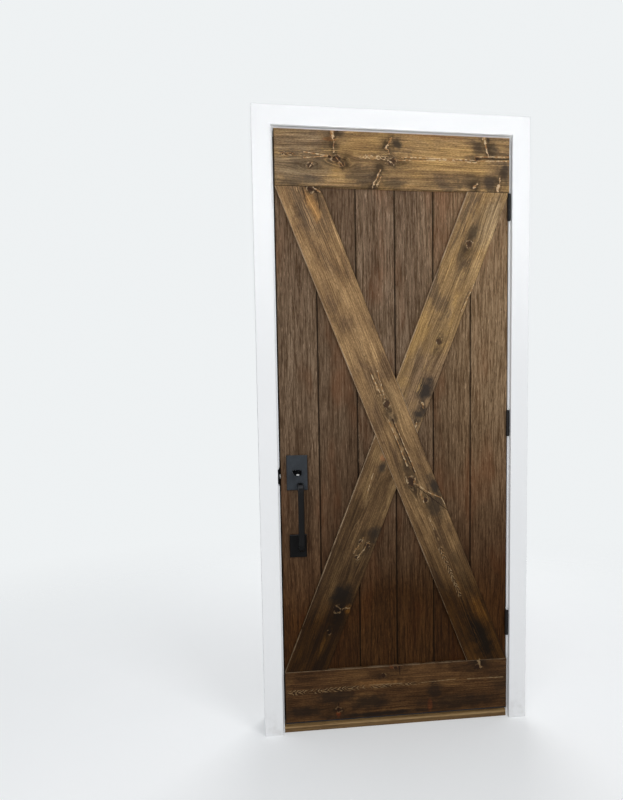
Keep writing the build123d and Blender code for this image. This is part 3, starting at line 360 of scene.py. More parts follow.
plank_finish, shade = finish_named("stained_planks")
coordinates = shade.node("ShaderNodeTexCoord").outputs
spot = coordinates["Object"]
x, y, z = shade.axes(spot)
from_left = shade.math("SUBTRACT", x, LEAF_LEFT)
which = shade.math("FLOOR", shade.math("DIVIDE", from_left, PLANK_WIDTH))
chance = shade.node("ShaderNodeTexWhiteNoise", {"W": which}, noise_dimensions="1D").outputs["Value"]
inward = shade.math("SUBTRACT", y, PLANK_FACE)
board_place = shade.place(z, y, shade.math("ADD", x, inward))
grain = shade.group(pores, Board=board_place, Seed=shade.math("MULTIPLY", chance, 40.0))
shade_and_soak = shade.group(foot_shade_and_stain, Place=spot, Colour=(1.0, 1.0, 1.0, 1.0), Soak=PLANK_SHADE_AND_SOAK, Curve=1.4)
tone = shade.math("MULTIPLY_ADD", grain["Tone"], 0.8, shade.math("MULTIPLY", chance, 0.25))
brown = shade.mix(shade.ramp(tone, 0.30, 0.75), (0.092, 0.055, 0.030), (0.150, 0.098, 0.058))
# Painted light: the planks are painted lighter towards the right and away from the foot, where more light
# falls.
rightward = shade.ramp(x, PAINTED_LIGHT_FROM, PAINTED_LIGHT_FULL)
painted_light = shade.math("MULTIPLY", rightward, shade.math("SUBTRACT", 0.75, shade_and_soak["Depth"], clamp=True))
brown = shade.mix(painted_light, brown, (0.235, 0.150, 0.078))
streaky = shade.ramp(grain["Streaks"], 0.34, 0.66)
darker = shade.tinted(brown, (0.46, 0.40, 0.34))
lighter = shade.tinted(brown, (1.46, 1.52, 1.62))
brown = shade.mix(streaky, darker, lighter)
brown = shade.mix(shade.math("MULTIPLY", grain["Pores"], 0.60), brown, (0.028, 0.014, 0.007))
fleck = shade.tinted(brown, (2.00, 2.10, 2.25))
brown = shade.mix(shade.math("MULTIPLY", grain["Flecks"], 0.85), brown, fleck)
ruddy = shade.ramp(shade.noise(shade.stretch(spot, 8.0, 1.0, 3.0), 1.0, 3.0), 0.50, 0.72)
brown = shade.mix(shade.math("MULTIPLY", ruddy, 0.42), brown, (0.180, 0.072, 0.030))
brown = shade.tinted(brown, shade_and_soak["Colour"])
central = shade.ramp(shade.math("ABSOLUTE", x), POOL_EDGE, POOL_MIDDLE)
pool = shade.math("MULTIPLY", central, shade_and_soak["Depth"])
pooled = shade.tinted(brown, (0.78, 0.80, 0.80))
brown = shade.mix(pool, brown, pooled)
# The slanted groove chamfers are painted dark: partly stain pooled in them, partly painted shade.
wear_and_light = shade.group(edges, Facing=coordinates["Normal"], Place=spot, Toward=(0.0, 0.0, 0.0))
brown = shade.mix(shade.math("MULTIPLY", wear_and_light["SoiledAndShaded"], 0.75), brown, (0.008, 0.005, 0.003))
relief = shade.math("SUBTRACT", grain["Streaks"], grain["Pores"])
bump = shade.node("ShaderNodeBump", {"Strength": 0.40, "Distance": 0.0006, "Height": relief})
wood = shade.node("ShaderNodeBsdfPrincipled", {
    "Base Color": brown,
    "Roughness": shade.math("MULTIPLY_ADD", grain["Pores"], 0.20, 0.52),
    "Specular IOR Level": 0.06,
    "Normal": bump.outputs[0],
})
shade.node("ShaderNodeOutputMaterial", {"Surface": wood.outputs[0]})
dress([f"plank_{number + 1}" for number in range(PLANK_COUNT)], plank_finish)


# The boards and braces: knotty pine, planed, stained brown and fixed flat over the planks.
# Pine takes stain in clouds: the late rings stay light, and the wood by a knot goes dark.
# Where a branch was sawn along its length it leaves a pale torn ridge with dark wings.
knot, shade, given, result = group_named(
    "knot",
    [("Board", "vector"), ("Centre", "vector"), ("Radius", "value")],
    [("Bend", "value"), ("Heart", "value"), ("Torn", "value"), ("Halo", "value")],
)
along, _, across = shade.axes(shade.vector("SUBTRACT", given["Board"], given["Centre"]))
ragged = shade.math("MULTIPLY_ADD", shade.noise(given["Board"], 55.0, 4.0, 0.65), 2.2, -1.1)
oval = shade.place(shade.math("MULTIPLY", along, 0.85), 0.0, across)
far = shade.vector("LENGTH", oval)
ratio = shade.math("ADD", shade.math("DIVIDE", far, given["Radius"]), ragged)
shade.link(shade.ramp(ratio, 1.10, 0.55), result["Heart"])
band = shade.close_to(ratio, 0.80, 0.24, 0.03)
patchy = shade.ramp(shade.noise(given["Board"], 75.0, 2.0), 0.44, 0.56)
shade.link(shade.math("MULTIPLY", band, patchy), result["Torn"])
long_oval = shade.place(shade.math("MULTIPLY", along, 0.36), 0.0, across)
swept = shade.vector("LENGTH", long_oval)
reach = shade.math("DIVIDE", swept, given["Radius"])
square = shade.math("MULTIPLY", reach, reach)
push = shade.math("DIVIDE", 1.1, shade.math("ADD", square, 0.25))
shade.link(shade.math("MULTIPLY", across, push), result["Bend"])
halo = shade.math("EXPONENT", shade.math("MULTIPLY", square, -0.30))
uneven = shade.math("MULTIPLY_ADD", shade.noise(given["Board"], 26.0, 3.0, 0.6), 2.6, -0.55)
shade.link(shade.math("MULTIPLY", halo, uneven, clamp=True), result["Halo"])

ridge, shade, given, result = group_named(
    "torn_ridge",
    [
        ("Board", "vector"), ("Start", "vector"), ("End", "vector"),
        ("Width", "value"), ("Ragged", "value"), ("Wing", "value"), ("Broken", "value"),
    ],
    [("Core", "value"), ("Dark", "value")],
)
aside = shade.math("SUBTRACT", shade.noise(given["Board"], 75.0, 4.0, 0.70), 0.5)
squeezed = shade.stretch(given["Board"], 1.0, 1.0, 1.6)
askew = shade.math("SUBTRACT", shade.noise(squeezed, 66.0, 4.0, 0.70), 0.5)
shift = shade.place(
    shade.math("MULTIPLY", aside, given["Ragged"]), 0.0, shade.math("MULTIPLY", askew, given["Ragged"])
)
flat = shade.stretch(shade.vector("ADD", given["Board"], shift), 1.0, 0.0, 1.0)
reach = shade.vector("SUBTRACT", flat, given["Start"])
whole = shade.vector("SUBTRACT", given["End"], given["Start"])
partly = shade.vector("DOT_PRODUCT", reach, whole)
share = shade.math("DIVIDE", partly, shade.vector("DOT_PRODUCT", whole, whole), clamp=True)
foot = shade.node("ShaderNodeVectorMath", {0: whole, "Scale": share}, operation="SCALE").outputs[0]
far = shade.vector("LENGTH", shade.vector("SUBTRACT", reach, foot))
grit = shade.math("SUBTRACT", shade.noise(given["Board"], 80.0, 1.0), 0.5)
thickness = shade.math("MULTIPLY_ADD", shade.math("MULTIPLY", grit, given["Broken"]), 2.6, 0.95)
near = shade.math("DIVIDE", far, given["Width"])
shade.link(shade.ramp(shade.math("SUBTRACT", near, thickness), 0.25, -0.45), result["Core"])
rim = shade.close_to(near, 1.9, 0.9, 0.3)
torn_edge = shade.math("MULTIPLY", rim, shade.ramp(shade.noise(given["Board"], 62.0, 2.0), 0.38, 0.55))
spread = shade.math("DIVIDE", far, given["Wing"])
soft = shade.math("EXPONENT", shade.math("MULTIPLY", shade.math("MULTIPLY", spread, spread), -0.8))
mottle = shade.math("MULTIPLY_ADD", shade.noise(given["Board"], 34.0, 3.0, 0.55), 3.0, -0.65)
wings = shade.math("MULTIPLY", soft, mottle, clamp=True)
shade.link(shade.math("MAXIMUM", wings, shade.math("MULTIPLY", torn_edge, 0.85)), result["Dark"])

heart_line, shade, given, result = group_named(
    "heart_line",
    [("Board", "vector"), ("Start", "vector"), ("End", "vector"), ("Width", "value"), ("Pitch", "value")],
    [("Chevrons", "value"), ("Eyes", "value"), ("Gaps", "value")],
)
along, _, across = shade.axes(shade.vector("SUBTRACT", given["Board"], given["Start"]))
run, _, rise = shade.axes(shade.vector("SUBTRACT", given["End"], given["Start"]))
share = shade.math("DIVIDE", along, run)
present = shade.math("MULTIPLY", shade.ramp(share, 0.0, 0.06), shade.ramp(share, 1.0, 0.94))
broken = shade.ramp(shade.noise(given["Board"], 36.0, 2.0), 0.36, 0.52)
present = shade.math("MULTIPLY", present, shade.math("MULTIPLY_ADD", broken, 0.85, 0.15))
waver = shade.math("MULTIPLY_ADD", shade.noise(given["Board"], 28.0, 3.0, 0.6), 0.010, -0.005)
aside = shade.math("SUBTRACT", shade.math("ADD", across, waver), shade.math("MULTIPLY", rise, share))
side = shade.math("ABSOLUTE", shade.math("DIVIDE", aside, given["Width"]))
unsteady = shade.math("MULTIPLY_ADD", shade.noise(given["Board"], 30.0, 3.0, 0.6), 3.2, -1.6)
step = shade.math("ADD", shade.math("DIVIDE", along, given["Pitch"]), unsteady)
teeth = shade.math("FRACT", shade.math("SUBTRACT", step, side))
teeth = shade.math("MULTIPLY", shade.ramp(teeth, 0.40, 0.75), shade.ramp(teeth, 1.0, 0.88))
inside = shade.math("MULTIPLY", shade.ramp(side, 1.05, 0.75), present)
shade.link(shade.math("MULTIPLY", teeth, inside), result["Chevrons"])
shade.link(shade.math("MULTIPLY", shade.math("SUBTRACT", 1.0, teeth), inside), result["Gaps"])
swell = shade.math("ABSOLUTE", shade.math("SINE", shade.math("MULTIPLY", step, math.pi)))
lid = shade.close_to(side, swell, 0.42, 0.12)
within = shade.math("MULTIPLY", shade.ramp(side, 1.5, 1.1), present)
shade.link(shade.math("MULTIPLY", lid, within), result["Eyes"])

cloud, shade, given, result = group_named(
    "stain_cloud",
    [("Board", "vector"), ("Centre", "vector"), ("Length", "value"), ("Width", "value")],
    [("Cloud", "value")],
)
along, _, across = shade.axes(shade.vector("SUBTRACT", given["Board"], given["Centre"]))
lengthwise = shade.math("DIVIDE", along, given["Length"])
crosswise = shade.math("DIVIDE", across, given["Width"])
size = shade.vector("LENGTH", shade.place(lengthwise, 0.0, crosswise))
ragged = shade.math("MULTIPLY_ADD", shade.noise(given["Board"], 30.0, 4.0, 0.6), 1.7, -0.85)
shade.link(shade.ramp(shade.math("ADD", size, ragged), 1.25, 0.30), result["Cloud"])

rings, shade, given, result = group_named(
    "pine_rings",
    [("Board", "vector"), ("Bend", "value"), ("Pith", "value"), ("Face", "value"), ("Seed", "value")],
    [("Late", "value"), ("Core", "value"), ("Fibres", "value"), ("Clouds", "value"), ("Bands", "value")],
)
along, deep, across = shade.axes(given["Board"])
slow = shade.noise(shade.place(shade.math("MULTIPLY", along, 1.7), given["Seed"], 0.0), 1.0, 1.0)
sway = shade.math("MULTIPLY_ADD", slow, 0.016, -0.008)
line = shade.math("SUBTRACT", shade.math("SUBTRACT", across, given["Pith"]), given["Bend"])
line = shade.math("ADD", line, sway)
near = shade.ramp(shade.math("ABSOLUTE", line), 0.014, 0.002)
quick = shade.noise(shade.place(shade.math("MULTIPLY", along, 75.0), given["Seed"], 0.3), 1.0, 2.0, 0.7)
zigzag = shade.math("MULTIPLY_ADD", quick, 0.010, -0.005)
line = shade.math("MULTIPLY_ADD", zigzag, near, line)
dips = shade.noise(shade.place(shade.math("MULTIPLY", along, 3.0), given["Seed"], 5.0), 1.0, 2.0)
waves = shade.noise(shade.place(shade.math("MULTIPLY", along, 55.0), given["Seed"], 2.0), 1.0, 1.0)
dip = shade.math("MULTIPLY_ADD", dips, 0.036, shade.math("MULTIPLY_ADD", waves, 0.008, -0.019))
depth = shade.math("ADD", dip, shade.math("SUBTRACT", deep, given["Face"]))
radius = shade.vector("LENGTH", shade.place(0.0, depth, line))
drift = shade.noise(shade.grain_place(along, 6.0, given["Seed"], across, 30.0), 1.0, 2.0)
turns = shade.math("MULTIPLY_ADD", radius, 150.0, shade.math("MULTIPLY", drift, 0.9))
share = shade.math("FRACT", turns)
late = shade.math("MULTIPLY", shade.ramp(share, 0.50, 0.82), shade.ramp(share, 1.0, 0.90))
shade.link(late, result["Late"])
gaps = shade.place(shade.math("MULTIPLY", along, 13.0), given["Seed"], 9.0)
lively = shade.ramp(shade.noise(gaps, 1.0, 3.0, 0.6), 0.40, 0.60)
middle = shade.ramp(shade.math("ABSOLUTE", line), 0.018, 0.002)
shade.link(shade.math("MULTIPLY", middle, lively), result["Core"])
fine = shade.grain_place(along, 11.0, deep, line, 300.0)
shade.link(shade.noise(fine, 1.0, 4.0, 0.72), result["Fibres"])
coarse = shade.grain_place(along, 2.6, given["Seed"], line, 95.0)
shade.link(shade.noise(coarse, 1.0, 3.0, 0.62), result["Bands"])
soaked = shade.grain_place(along, 6.5, given["Seed"], line, 19.0)
shade.link(shade.noise(soaked, 1.0, 4.0, 0.58, 0.5), result["Clouds"])


BOARD_FACE = -0.0707

# In millimetres, but for the breaks: a ridge less ragged than a clean split hardly breaks up.
CLEAN_SPLIT = 10
CLEAN_BREAKS = 0.45
CRACK_RAGGED = 3.0
NARROWEST_WING = 1.0


class Board:
    """A board on the leaf's face: where its grain starts, which way it runs, its bare edge with a painted
    highlight.
    """

    def __init__(self, start, angle, toward, bare_and_lit_edge):
        self.start = start
        self.angle = math.radians(angle)
        self.toward = toward
        self.bare_and_lit_edge = bare_and_lit_edge

    def spot(self, x, z):
        """A place on the door's face, in millimetres from the leaf's lower left corner."""
        right = LEAF_LEFT + x / 1000 - self.start[0]
        up = LEAF_FOOT + z / 1000 - self.start[1]
        along = right * math.cos(self.angle) - up * math.sin(self.angle)
        across = right * math.sin(self.angle) + up * math.cos(self.angle)
        return (along, 0.0, across)


def knotty_pine(
    name, board, pith, seed, tones, shade_and_soak, knots=(), ridges=(), cracks=(), clouds=(), glows=(), hearts=()
):
    """Stained pine for one board: three tones, its heart line and what its stain shows, with painted shade
    and highlight.

    In millimetres: a knot is (x, z, radius), a ridge (x, z, x, z, width, ragged, wing), a
    crack (x, z, x, z, width), a cloud (x, z, length, width, strength), a glow
    (x, z, length, width, colour) and a heart (x, z, x, z, width, pitch, Chevrons or Eyes).
    """
    finish, shade = finish_named(name)
    coordinates = shade.node("ShaderNodeTexCoord").outputs
    spot = coordinates["Object"]
    laid = shade.node("ShaderNodeMapping", {
        "Vector": spot,
        "Location": (board.start[0], 0.0, board.start[1]),
        "Rotation": (0.0, board.angle, 0.0),
    }, vector_type="TEXTURE").outputs[0]

    def torn(x, z, end_x, end_z, width, ragged, wing):
        """A ridge or split between two places on the door's face."""
        return shade.group(
            ridge, Board=laid, Start=board.spot(x, z), End=board.spot(end_x, end_z),
            Width=width / 1000, Ragged=ragged / 1000, Wing=wing / 1000,
            Broken=CLEAN_BREAKS if ragged < CLEAN_SPLIT else 1.0,
        )

    def patch(x, z, length, width):
        """A ragged cloud about a place on the door's face."""
        return shade.group(
            cloud, Board=laid, Centre=board.spot(x, z), Length=length / 1000, Width=width / 1000
        )["Cloud"]

    bend = heart = halo = fresh = split = cloudy = 0.0
    for x, z, radius in knots:
        one = shade.group(knot, Board=laid, Centre=board.spot(x, z), Radius=radius / 1000)
        bend = shade.math("ADD", bend, one["Bend"])
        heart = shade.math("MAXIMUM", heart, one["Heart"])
        halo = shade.math("MAXIMUM", halo, one["Halo"])
        fresh = shade.math("MAXIMUM", fresh, shade.math("MULTIPLY", one["Torn"], 0.6))
    for x, z, end_x, end_z, width, ragged, wing in ridges:
        one = torn(x, z, end_x, end_z, width, ragged, max(wing, NARROWEST_WING))
        fresh = shade.math("MAXIMUM", fresh, one["Core"])
        if wing:
            halo = shade.math("MAXIMUM", halo, one["Dark"])
    for x, z, end_x, end_z, width in cracks:
        one = torn(x, z, end_x, end_z, width, CRACK_RAGGED, NARROWEST_WING)
        split = shade.math("MAXIMUM", split, one["Core"])
    for x, z, end_x, end_z, width, pitch, kind in hearts:
        one = shade.group(
            heart_line, Board=laid, Start=board.spot(x, z), End=board.spot(end_x, end_z),
            Width=width / 1000, Pitch=pitch / 1000,
        )
        fresh = shade.math("MAXIMUM", fresh, one[kind])
        if kind == "Chevrons":
            split = shade.math("MAXIMUM", split, shade.math("MULTIPLY", one["Gaps"], 0.65))
    for x, z, length, width, strength in clouds:
        one = shade.math("MULTIPLY", patch(x, z, length, width), strength)
        cloudy = shade.math("MAXIMUM", cloudy, one)
    grain = shade.group(rings, Board=laid, Bend=bend, Pith=pith / 1000, Face=BOARD_FACE, Seed=seed)
    dark, middle, gold = tones
    colour = shade.mix(shade.ramp(grain["Clouds"], 0.36, 0.50), dark, middle)
    colour = shade.mix(shade.ramp(grain["Clouds"], 0.50, 0.64), colour, gold)
    for x, z, length, width, glow in glows:
        colour = shade.mix(shade.math("MULTIPLY", patch(x, z, length, width), 0.75), colour, glow)
    banded = shade.ramp(grain["Bands"], 0.30, 0.70)
    dull = shade.tinted(colour, (0.62, 0.58, 0.54))
    warm = shade.tinted(colour, (1.34, 1.32, 1.24))
    colour = shade.mix(banded, dull, warm)
    flecks = shade.ramp(shade.noise(shade.stretch(laid, 120.0, 1.0, 420.0), 1.0, 3.0, 0.65), 0.36, 0.64)
    dusky = shade.tinted(colour, (0.76, 0.74, 0.73))
    bright = shade.tinted(colour, (1.22, 1.22, 1.22))
    colour = shade.mix(flecks, dusky, bright)
    streaky = shade.ramp(grain["Fibres"], 0.28, 0.70)
    coarse = shade.tinted(colour, (0.62, 0.58, 0.55))
    silky = shade.tinted(colour, (1.30, 1.32, 1.34))
    colour = shade.mix(streaky, coarse, silky)
    pale = shade.tinted(colour, (1.45, 1.48, 1.50))
    colour = shade.mix(shade.math("MULTIPLY", grain["Late"], 0.45), colour, pale)
    colour = shade.mix(cloudy, colour, (0.028, 0.022, 0.018))
    colour = shade.mix(shade.math("MULTIPLY", halo, 0.90), colour, (0.036, 0.023, 0.013))
    thread = shade.math("MULTIPLY", grain["Late"], grain["Core"])
    colour = shade.mix(shade.math("MULTIPLY", thread, 0.75), colour, [1.35 * c for c in gold])
    colour = shade.mix(shade.math("MULTIPLY", heart, 0.85), colour, (0.042, 0.022, 0.013))
    colour = shade.mix(shade.math("MULTIPLY", split, 0.85), colour, (0.020, 0.011, 0.007))
    # Towards the foot the board is painted darker: partly deeper stain, partly painted shade.
    shaded_and_stained = shade.group(foot_shade_and_stain, Place=spot, Colour=colour, Soak=(*shade_and_soak, 1.0), Curve=2.0)
    speckled = shade.ramp(shade.noise(laid, 95.0, 2.0), 0.40, 0.60)
    raw = shade.mix(speckled, (0.300, 0.150, 0.055), (0.560, 0.410, 0.240))
    raw = shade.mix(shade.math("MULTIPLY", shaded_and_stained["Depth"], 0.85), raw, (0.165, 0.103, 0.048))
    colour = shade.mix(shade.math("MULTIPLY", fresh, 0.85), shaded_and_stained["Colour"], raw)
    # Edges facing the board's lit side, and a strip along one edge, are painted pale: bare wood and painted
    # highlight; the other edges are painted darker: soil and painted shade.
    wear_and_light = shade.group(edges, Facing=coordinates["Normal"], Place=spot, Toward=board.toward)
    strip = shade.close_to(shade.axes(laid)[2], board.bare_and_lit_edge, 0.0030, 0.0008)
    strip = shade.math("MULTIPLY", strip, shade.ramp(shade.noise(spot, 9.0, 4.0, 0.7), 0.42, 0.62))
    bare_and_lit = shade.mix(shaded_and_stained["Depth"], (0.420, 0.300, 0.190), (0.150, 0.100, 0.058))
    colour = shade.mix(shade.math("MAXIMUM", wear_and_light["WornAndLit"], strip), colour, bare_and_lit)
    colour = shade.mix(shade.math("MULTIPLY", wear_and_light["SoiledAndShaded"], 0.80), colour, (0.012, 0.007, 0.004))
    relief = shade.math("MULTIPLY_ADD", grain["Late"], 0.5, shade.math("MULTIPLY", grain["Fibres"], 0.7))
    bump = shade.node("ShaderNodeBump", {"Strength": 0.40, "Distance": 0.0008, "Height": relief})
    wood = shade.node("ShaderNodeBsdfPrincipled", {
        "Base Color": colour,
        "Roughness": shade.math("MULTIPLY_ADD", grain["Clouds"], 0.25, 0.44),
        "Specular IOR Level": 0.07,
        "Normal": bump.outputs[0],
    })
    shade.node("ShaderNodeOutputMaterial", {"Surface": wood.outputs[0]})
    return finish


GOLDEN = ((0.130, 0.086, 0.048), (0.235, 0.152, 0.072), (0.285, 0.181, 0.075))
KHAKI = ((0.140, 0.087, 0.047), (0.212, 0.133, 0.066), (0.290, 0.186, 0.092))
UMBER = ((0.090, 0.054, 0.026), (0.136, 0.083, 0.041), (0.198, 0.127, 0.061))
BRACE_SHADE_AND_SOAK = (0.150, 0.102, 0.042)

top_board = Board((-0.406, 1.888), 0.0, (0.0, 0.0, 1.0), -1.0)
dress(["board_top"], knotty_pine(
    "pine_top_board", top_board, 101.0, 3.0, GOLDEN, BRACE_SHADE_AND_SOAK,
    knots=[
        (208, 1938, 16), (184, 1946, 9), (226, 1924, 10), (398, 1938, 14), (120, 1916, 12), (694, 1958, 8),
    ],
    ridges=[
        (194, 2044, 196, 2016, 5.6, 18, 24), (197, 2014, 201, 1962, 1.8, 22, 16),
        (394, 2014, 376, 1980, 2.6, 22, 22), (376, 1980, 390, 1964, 1.9, 22, 12),
        (722, 2040, 723, 2014, 5.4, 18, 26), (725, 2012, 736, 1964, 1.9, 22, 16),
        (356, 1910, 330, 1852, 2.6, 22, 24), (358, 1886, 344, 1856, 1.7, 22, 14),
        (698, 1876, 686, 1862, 3.0, 14, 20), (779, 1904, 777, 1880, 1.8, 14, 22),
        (776, 1876, 770, 1852, 4.4, 14, 22), (206, 1946, 230, 1914, 1.8, 22, 10),
        (384, 1944, 404, 1926, 1.8, 22, 10), (126, 1924, 114, 1908, 1.2, 22, 10),
        (98, 1959, 178, 1949, 2.1, 4, 0), (98, 1940, 178, 1948, 2.0, 4, 0),
        (430, 1954, 690, 1953, 1.9, 4, 0), (420, 1943, 590, 1950, 1.7, 4, 0),
        (590, 1950, 700, 1945, 1.7, 4, 0), (694, 1965, 813, 1968, 1.9, 4, 0),
        (700, 1951, 813, 1954, 1.9, 4, 0),
    ],
    cracks=[(692, 1958, 813, 1961, 3.2), (178, 1948, 238, 1938, 2.0), (440, 1949, 690, 1951, 1.7)],
    clouds=[
        (60, 1862, 70, 18, 0.65), (120, 1870, 50, 16, 0.50), (290, 1888, 56, 38, 0.62),
        (400, 1866, 50, 20, 0.68), (665, 1884, 54, 34, 0.58), (742, 1878, 32, 36, 0.82),
        (798, 1912, 20, 40, 0.78), (174, 1986, 28, 32, 0.55), (414, 1999, 24, 20, 0.88),
        (700, 1990, 28, 26, 0.70), (754, 1990, 28, 24, 0.70), (560, 1862, 90, 14, 0.30),
        (736, 2022, 8, 12, 0.90), (212, 2024, 10, 14, 0.80), (60, 1952, 40, 14, 0.50),
        (90, 2034, 120, 10, 0.50), (540, 2038, 170, 8, 0.35), (222, 2028, 18, 16, 0.65),
    ],
    glows=[
        (70, 1910, 130, 70, (0.185, 0.138, 0.088)), (90, 2000, 120, 60, (0.165, 0.118, 0.074)),
        (184, 2002, 24, 8, (0.50, 0.21, 0.06)), (197, 2020, 11, 15, (0.36, 0.16, 0.055)),
        (540, 1940, 120, 44, (0.32, 0.202, 0.080)), (640, 1980, 100, 30, (0.34, 0.215, 0.086)),
        (280, 1998, 44, 32, (0.29, 0.18, 0.074)), (560, 2026, 120, 12, (0.24, 0.130, 0.056)),
        (700, 1910, 50, 26, (0.33, 0.21, 0.084)),
    ],
    hearts=[(280, 1950, 410, 1949, 5.5, 19, "Eyes"), (20, 1951, 98, 1949, 6.0, 14, "Chevrons")],
))

bottom_board = Board((-0.406, 0.040), 0.0, (-0.45, 0.0, 0.89), 0.1832)
dress(["board_bottom"], knotty_pine(
    "pine_bottom_board", bottom_board, 110.0, 11.0, UMBER, (0.430, 0.340, 0.265),
    knots=[(188, 34, 12), (352, 150, 9), (705, 158, 13), (395, 178, 8)],
    ridges=[
        (300, 119, 420, 117, 1.4, 4, 0), (490, 114, 620, 118, 1.5, 4, 0), (664, 116, 800, 114, 1.7, 4, 0),
        (706, 184, 714, 158, 4.4, 12, 14),
    ],
    cracks=[(410, 196, 412, 150, 1.8), (188, 60, 186, 30, 2.1)],
    clouds=[
        (180, 84, 96, 30, 0.80), (300, 58, 84, 32, 0.85), (540, 84, 34, 46, 0.75), (790, 100, 50, 60, 0.45),
        (708, 184, 50, 26, 0.80), (60, 36, 76, 24, 0.80), (330, 10, 230, 11, 0.95), (620, 36, 180, 32, 0.62),
    ],
    glows=[
        (188, 26, 9, 22, (0.60, 0.16, 0.05)), (395, 180, 20, 10, (0.46, 0.16, 0.06)),
        (524, 30, 10, 26, (0.40, 0.15, 0.06)), (500, 150, 160, 26, (0.27, 0.175, 0.088)),
        (330, 126, 80, 15, (0.44, 0.28, 0.13)),
    ],
    hearts=[(0, 108, 290, 112, 9.0, 17, "Chevrons"), (300, 111, 490, 113, 6.0, 19, "Chevrons")],
))

falling = Board((-0.331, 1.888), 68.296, (-1.0, 0.0, 0.0), -0.0695)
dress(["brace_long"], knotty_pine(
    "pine_long_brace", falling, -1.0, 7.0, KHAKI, BRACE_SHADE_AND_SOAK,
    knots=[(372, 1120, 15), (457, 850, 17), (118, 1838, 14), (510, 782, 9)],
    ridges=[
        (126, 1848, 152, 1832, 2.8, 22, 14),
        (318, 1226, 353, 1150, 1.8, 5, 0), (340, 1236, 366, 1140, 1.6, 5, 0),
        (378, 1066, 409, 990, 1.7, 5, 0), (400, 1056, 474, 880, 1.5, 5, 0), (409, 990, 444, 905, 2.4, 8, 10),
        (440, 862, 444, 842, 2.4, 22, 8), (472, 860, 470, 838, 2.4, 22, 8),
        (478, 838, 517, 809, 1.7, 5, 0), (517, 809, 568, 786, 2.0, 5, 0), (568, 786, 590, 748, 1.6, 5, 0),
        (496, 800, 504, 770, 1.8, 22, 0), (520, 720, 540, 673, 1.3, 5, 0), (710, 186, 712, 160, 3.4, 5, 0),
    ],
    cracks=[
        (100, 1850, 140, 1828, 3.4), (140, 1828, 150, 1768, 1.8), (392, 1068, 470, 880, 3.8),
        (640, 420, 700, 250, 1.5), (92, 1842, 104, 1790, 1.5), (480, 828, 590, 742, 1.7),
    ],
    clouds=[
        (540, 828, 56, 22, 0.90), (548, 760, 58, 38, 0.75), (716, 262, 120, 42, 0.90),
        (655, 480, 70, 18, 0.45), (620, 560, 40, 16, 0.35), (88, 1770, 70, 14, 0.45),
        (392, 1076, 26, 16, 0.60), (442, 900, 34, 16, 0.50), (460, 850, 28, 26, 0.45),
    ],
    glows=[
        (110, 1790, 150, 70, (0.118, 0.077, 0.045)), (122, 1796, 66, 21, (0.54, 0.30, 0.110)),
        (400, 1130, 90, 30, (0.31, 0.202, 0.100)),
        (704, 372, 70, 30, (0.60, 0.38, 0.17)), (384, 1074, 10, 7, (0.42, 0.30, 0.18)),
        (712, 176, 20, 9, (1.0, 0.8, 0.5)),
    ],
    hearts=[(560, 612, 640, 420, 8.0, 18, "Chevrons")],
))

rising = Board((0.332, 1.888), 111.704, (-1.0, 0.0, 0.0), -0.0695)
dress(["brace_upper"], knotty_pine(
    "pine_upper_brace", rising, 16.0, 19.0, GOLDEN, BRACE_SHADE_AND_SOAK,
    knots=[(668, 1672, 15), (560, 1335, 12)],
    ridges=[
        (498, 1124, 505, 1104, 2.8, 22, 8), (478, 1056, 474, 1040, 3.0, 22, 6),
        (700, 1560, 640, 1440, 1.3, 5, 0),
    ],
    clouds=[
        (512, 1168, 54, 34, 0.95), (489, 1084, 40, 25, 0.92), (676, 1700, 46, 18, 0.60),
        (640, 1640, 44, 16, 0.50),
    ],
    glows=[
        (740, 1740, 120, 50, (0.31, 0.222, 0.125)), (690, 1580, 80, 24, (0.36, 0.240, 0.115)),
        (500, 1130, 150, 70, (0.205, 0.134, 0.076)), (530, 1200, 170, 90, (0.185, 0.120, 0.070)),
    ],
))
dress(["brace_lower"], knotty_pine(
    "pine_lower_brace", rising, -12.0, 23.0, UMBER, BRACE_SHADE_AND_SOAK,
    knots=[(188, 400, 16), (300, 628, 10), (262, 585, 9), (158, 320, 9), (276, 640, 8)],
    ridges=[
        (208, 401, 232, 405, 2.0, 26, 8), (304, 640, 262, 580, 1.6, 22, 0),
        (286, 655, 250, 600, 1.4, 22, 0), (322, 880, 300, 812, 1.3, 5, 0),
    ],
    cracks=[(214, 420, 176, 380, 1.8)],
    clouds=[
        (205, 450, 50, 44, 0.97), (330, 666, 34, 30, 0.85), (190, 360, 44, 28, 0.50),
        (140, 240, 60, 20, 0.40), (356, 900, 24, 16, 0.80),
    ],
    glows=[
        (430, 880, 120, 40, (0.22, 0.145, 0.072)), (357, 934, 14, 12, (0.30, 0.13, 0.06)),
        (226, 401, 18, 13, (1.00, 0.62, 0.26)), (146, 290, 66, 14, (0.50, 0.33, 0.15)),
        (150, 420, 110, 20, (0.30, 0.19, 0.09)),
    ],
))


# The door sweep: a black vinyl carrier with three fins, fixed under the leaf.
# It is dull and a little dusty.
sweep_finish, shade = finish_named("black_vinyl")
spot = shade.node("ShaderNodeTexCoord").outputs["Object"]
dust = shade.noise(spot, 60.0, 4.0)
vinyl = shade.mix(dust, (0.012, 0.013, 0.015), (0.030, 0.032, 0.036))
dull = shade.node("ShaderNodeBsdfPrincipled", {
    "Base Color": vinyl,
    "Roughness": 0.70,
    "Specular IOR Level": 0.10,
})
shade.node("ShaderNodeOutputMaterial", {"Surface": dull.outputs[0]})
dress(["door_sweep"], sweep_finish)


# The threshold: an oak saddle, stained and oiled, worn pale along its front nose, where a highlight is
# painted too.
# Its grain runs across the doorway.
UNDER_NOSE = 0.0135
NOSE_FOOT = 0.0155
NOSE_MIDDLE = 0.0175
NOSE_BACK = -0.050
NOSE_FRONT = -0.056
TREAD_EDGE = 0.38
TREAD_MIDDLE = 0.15

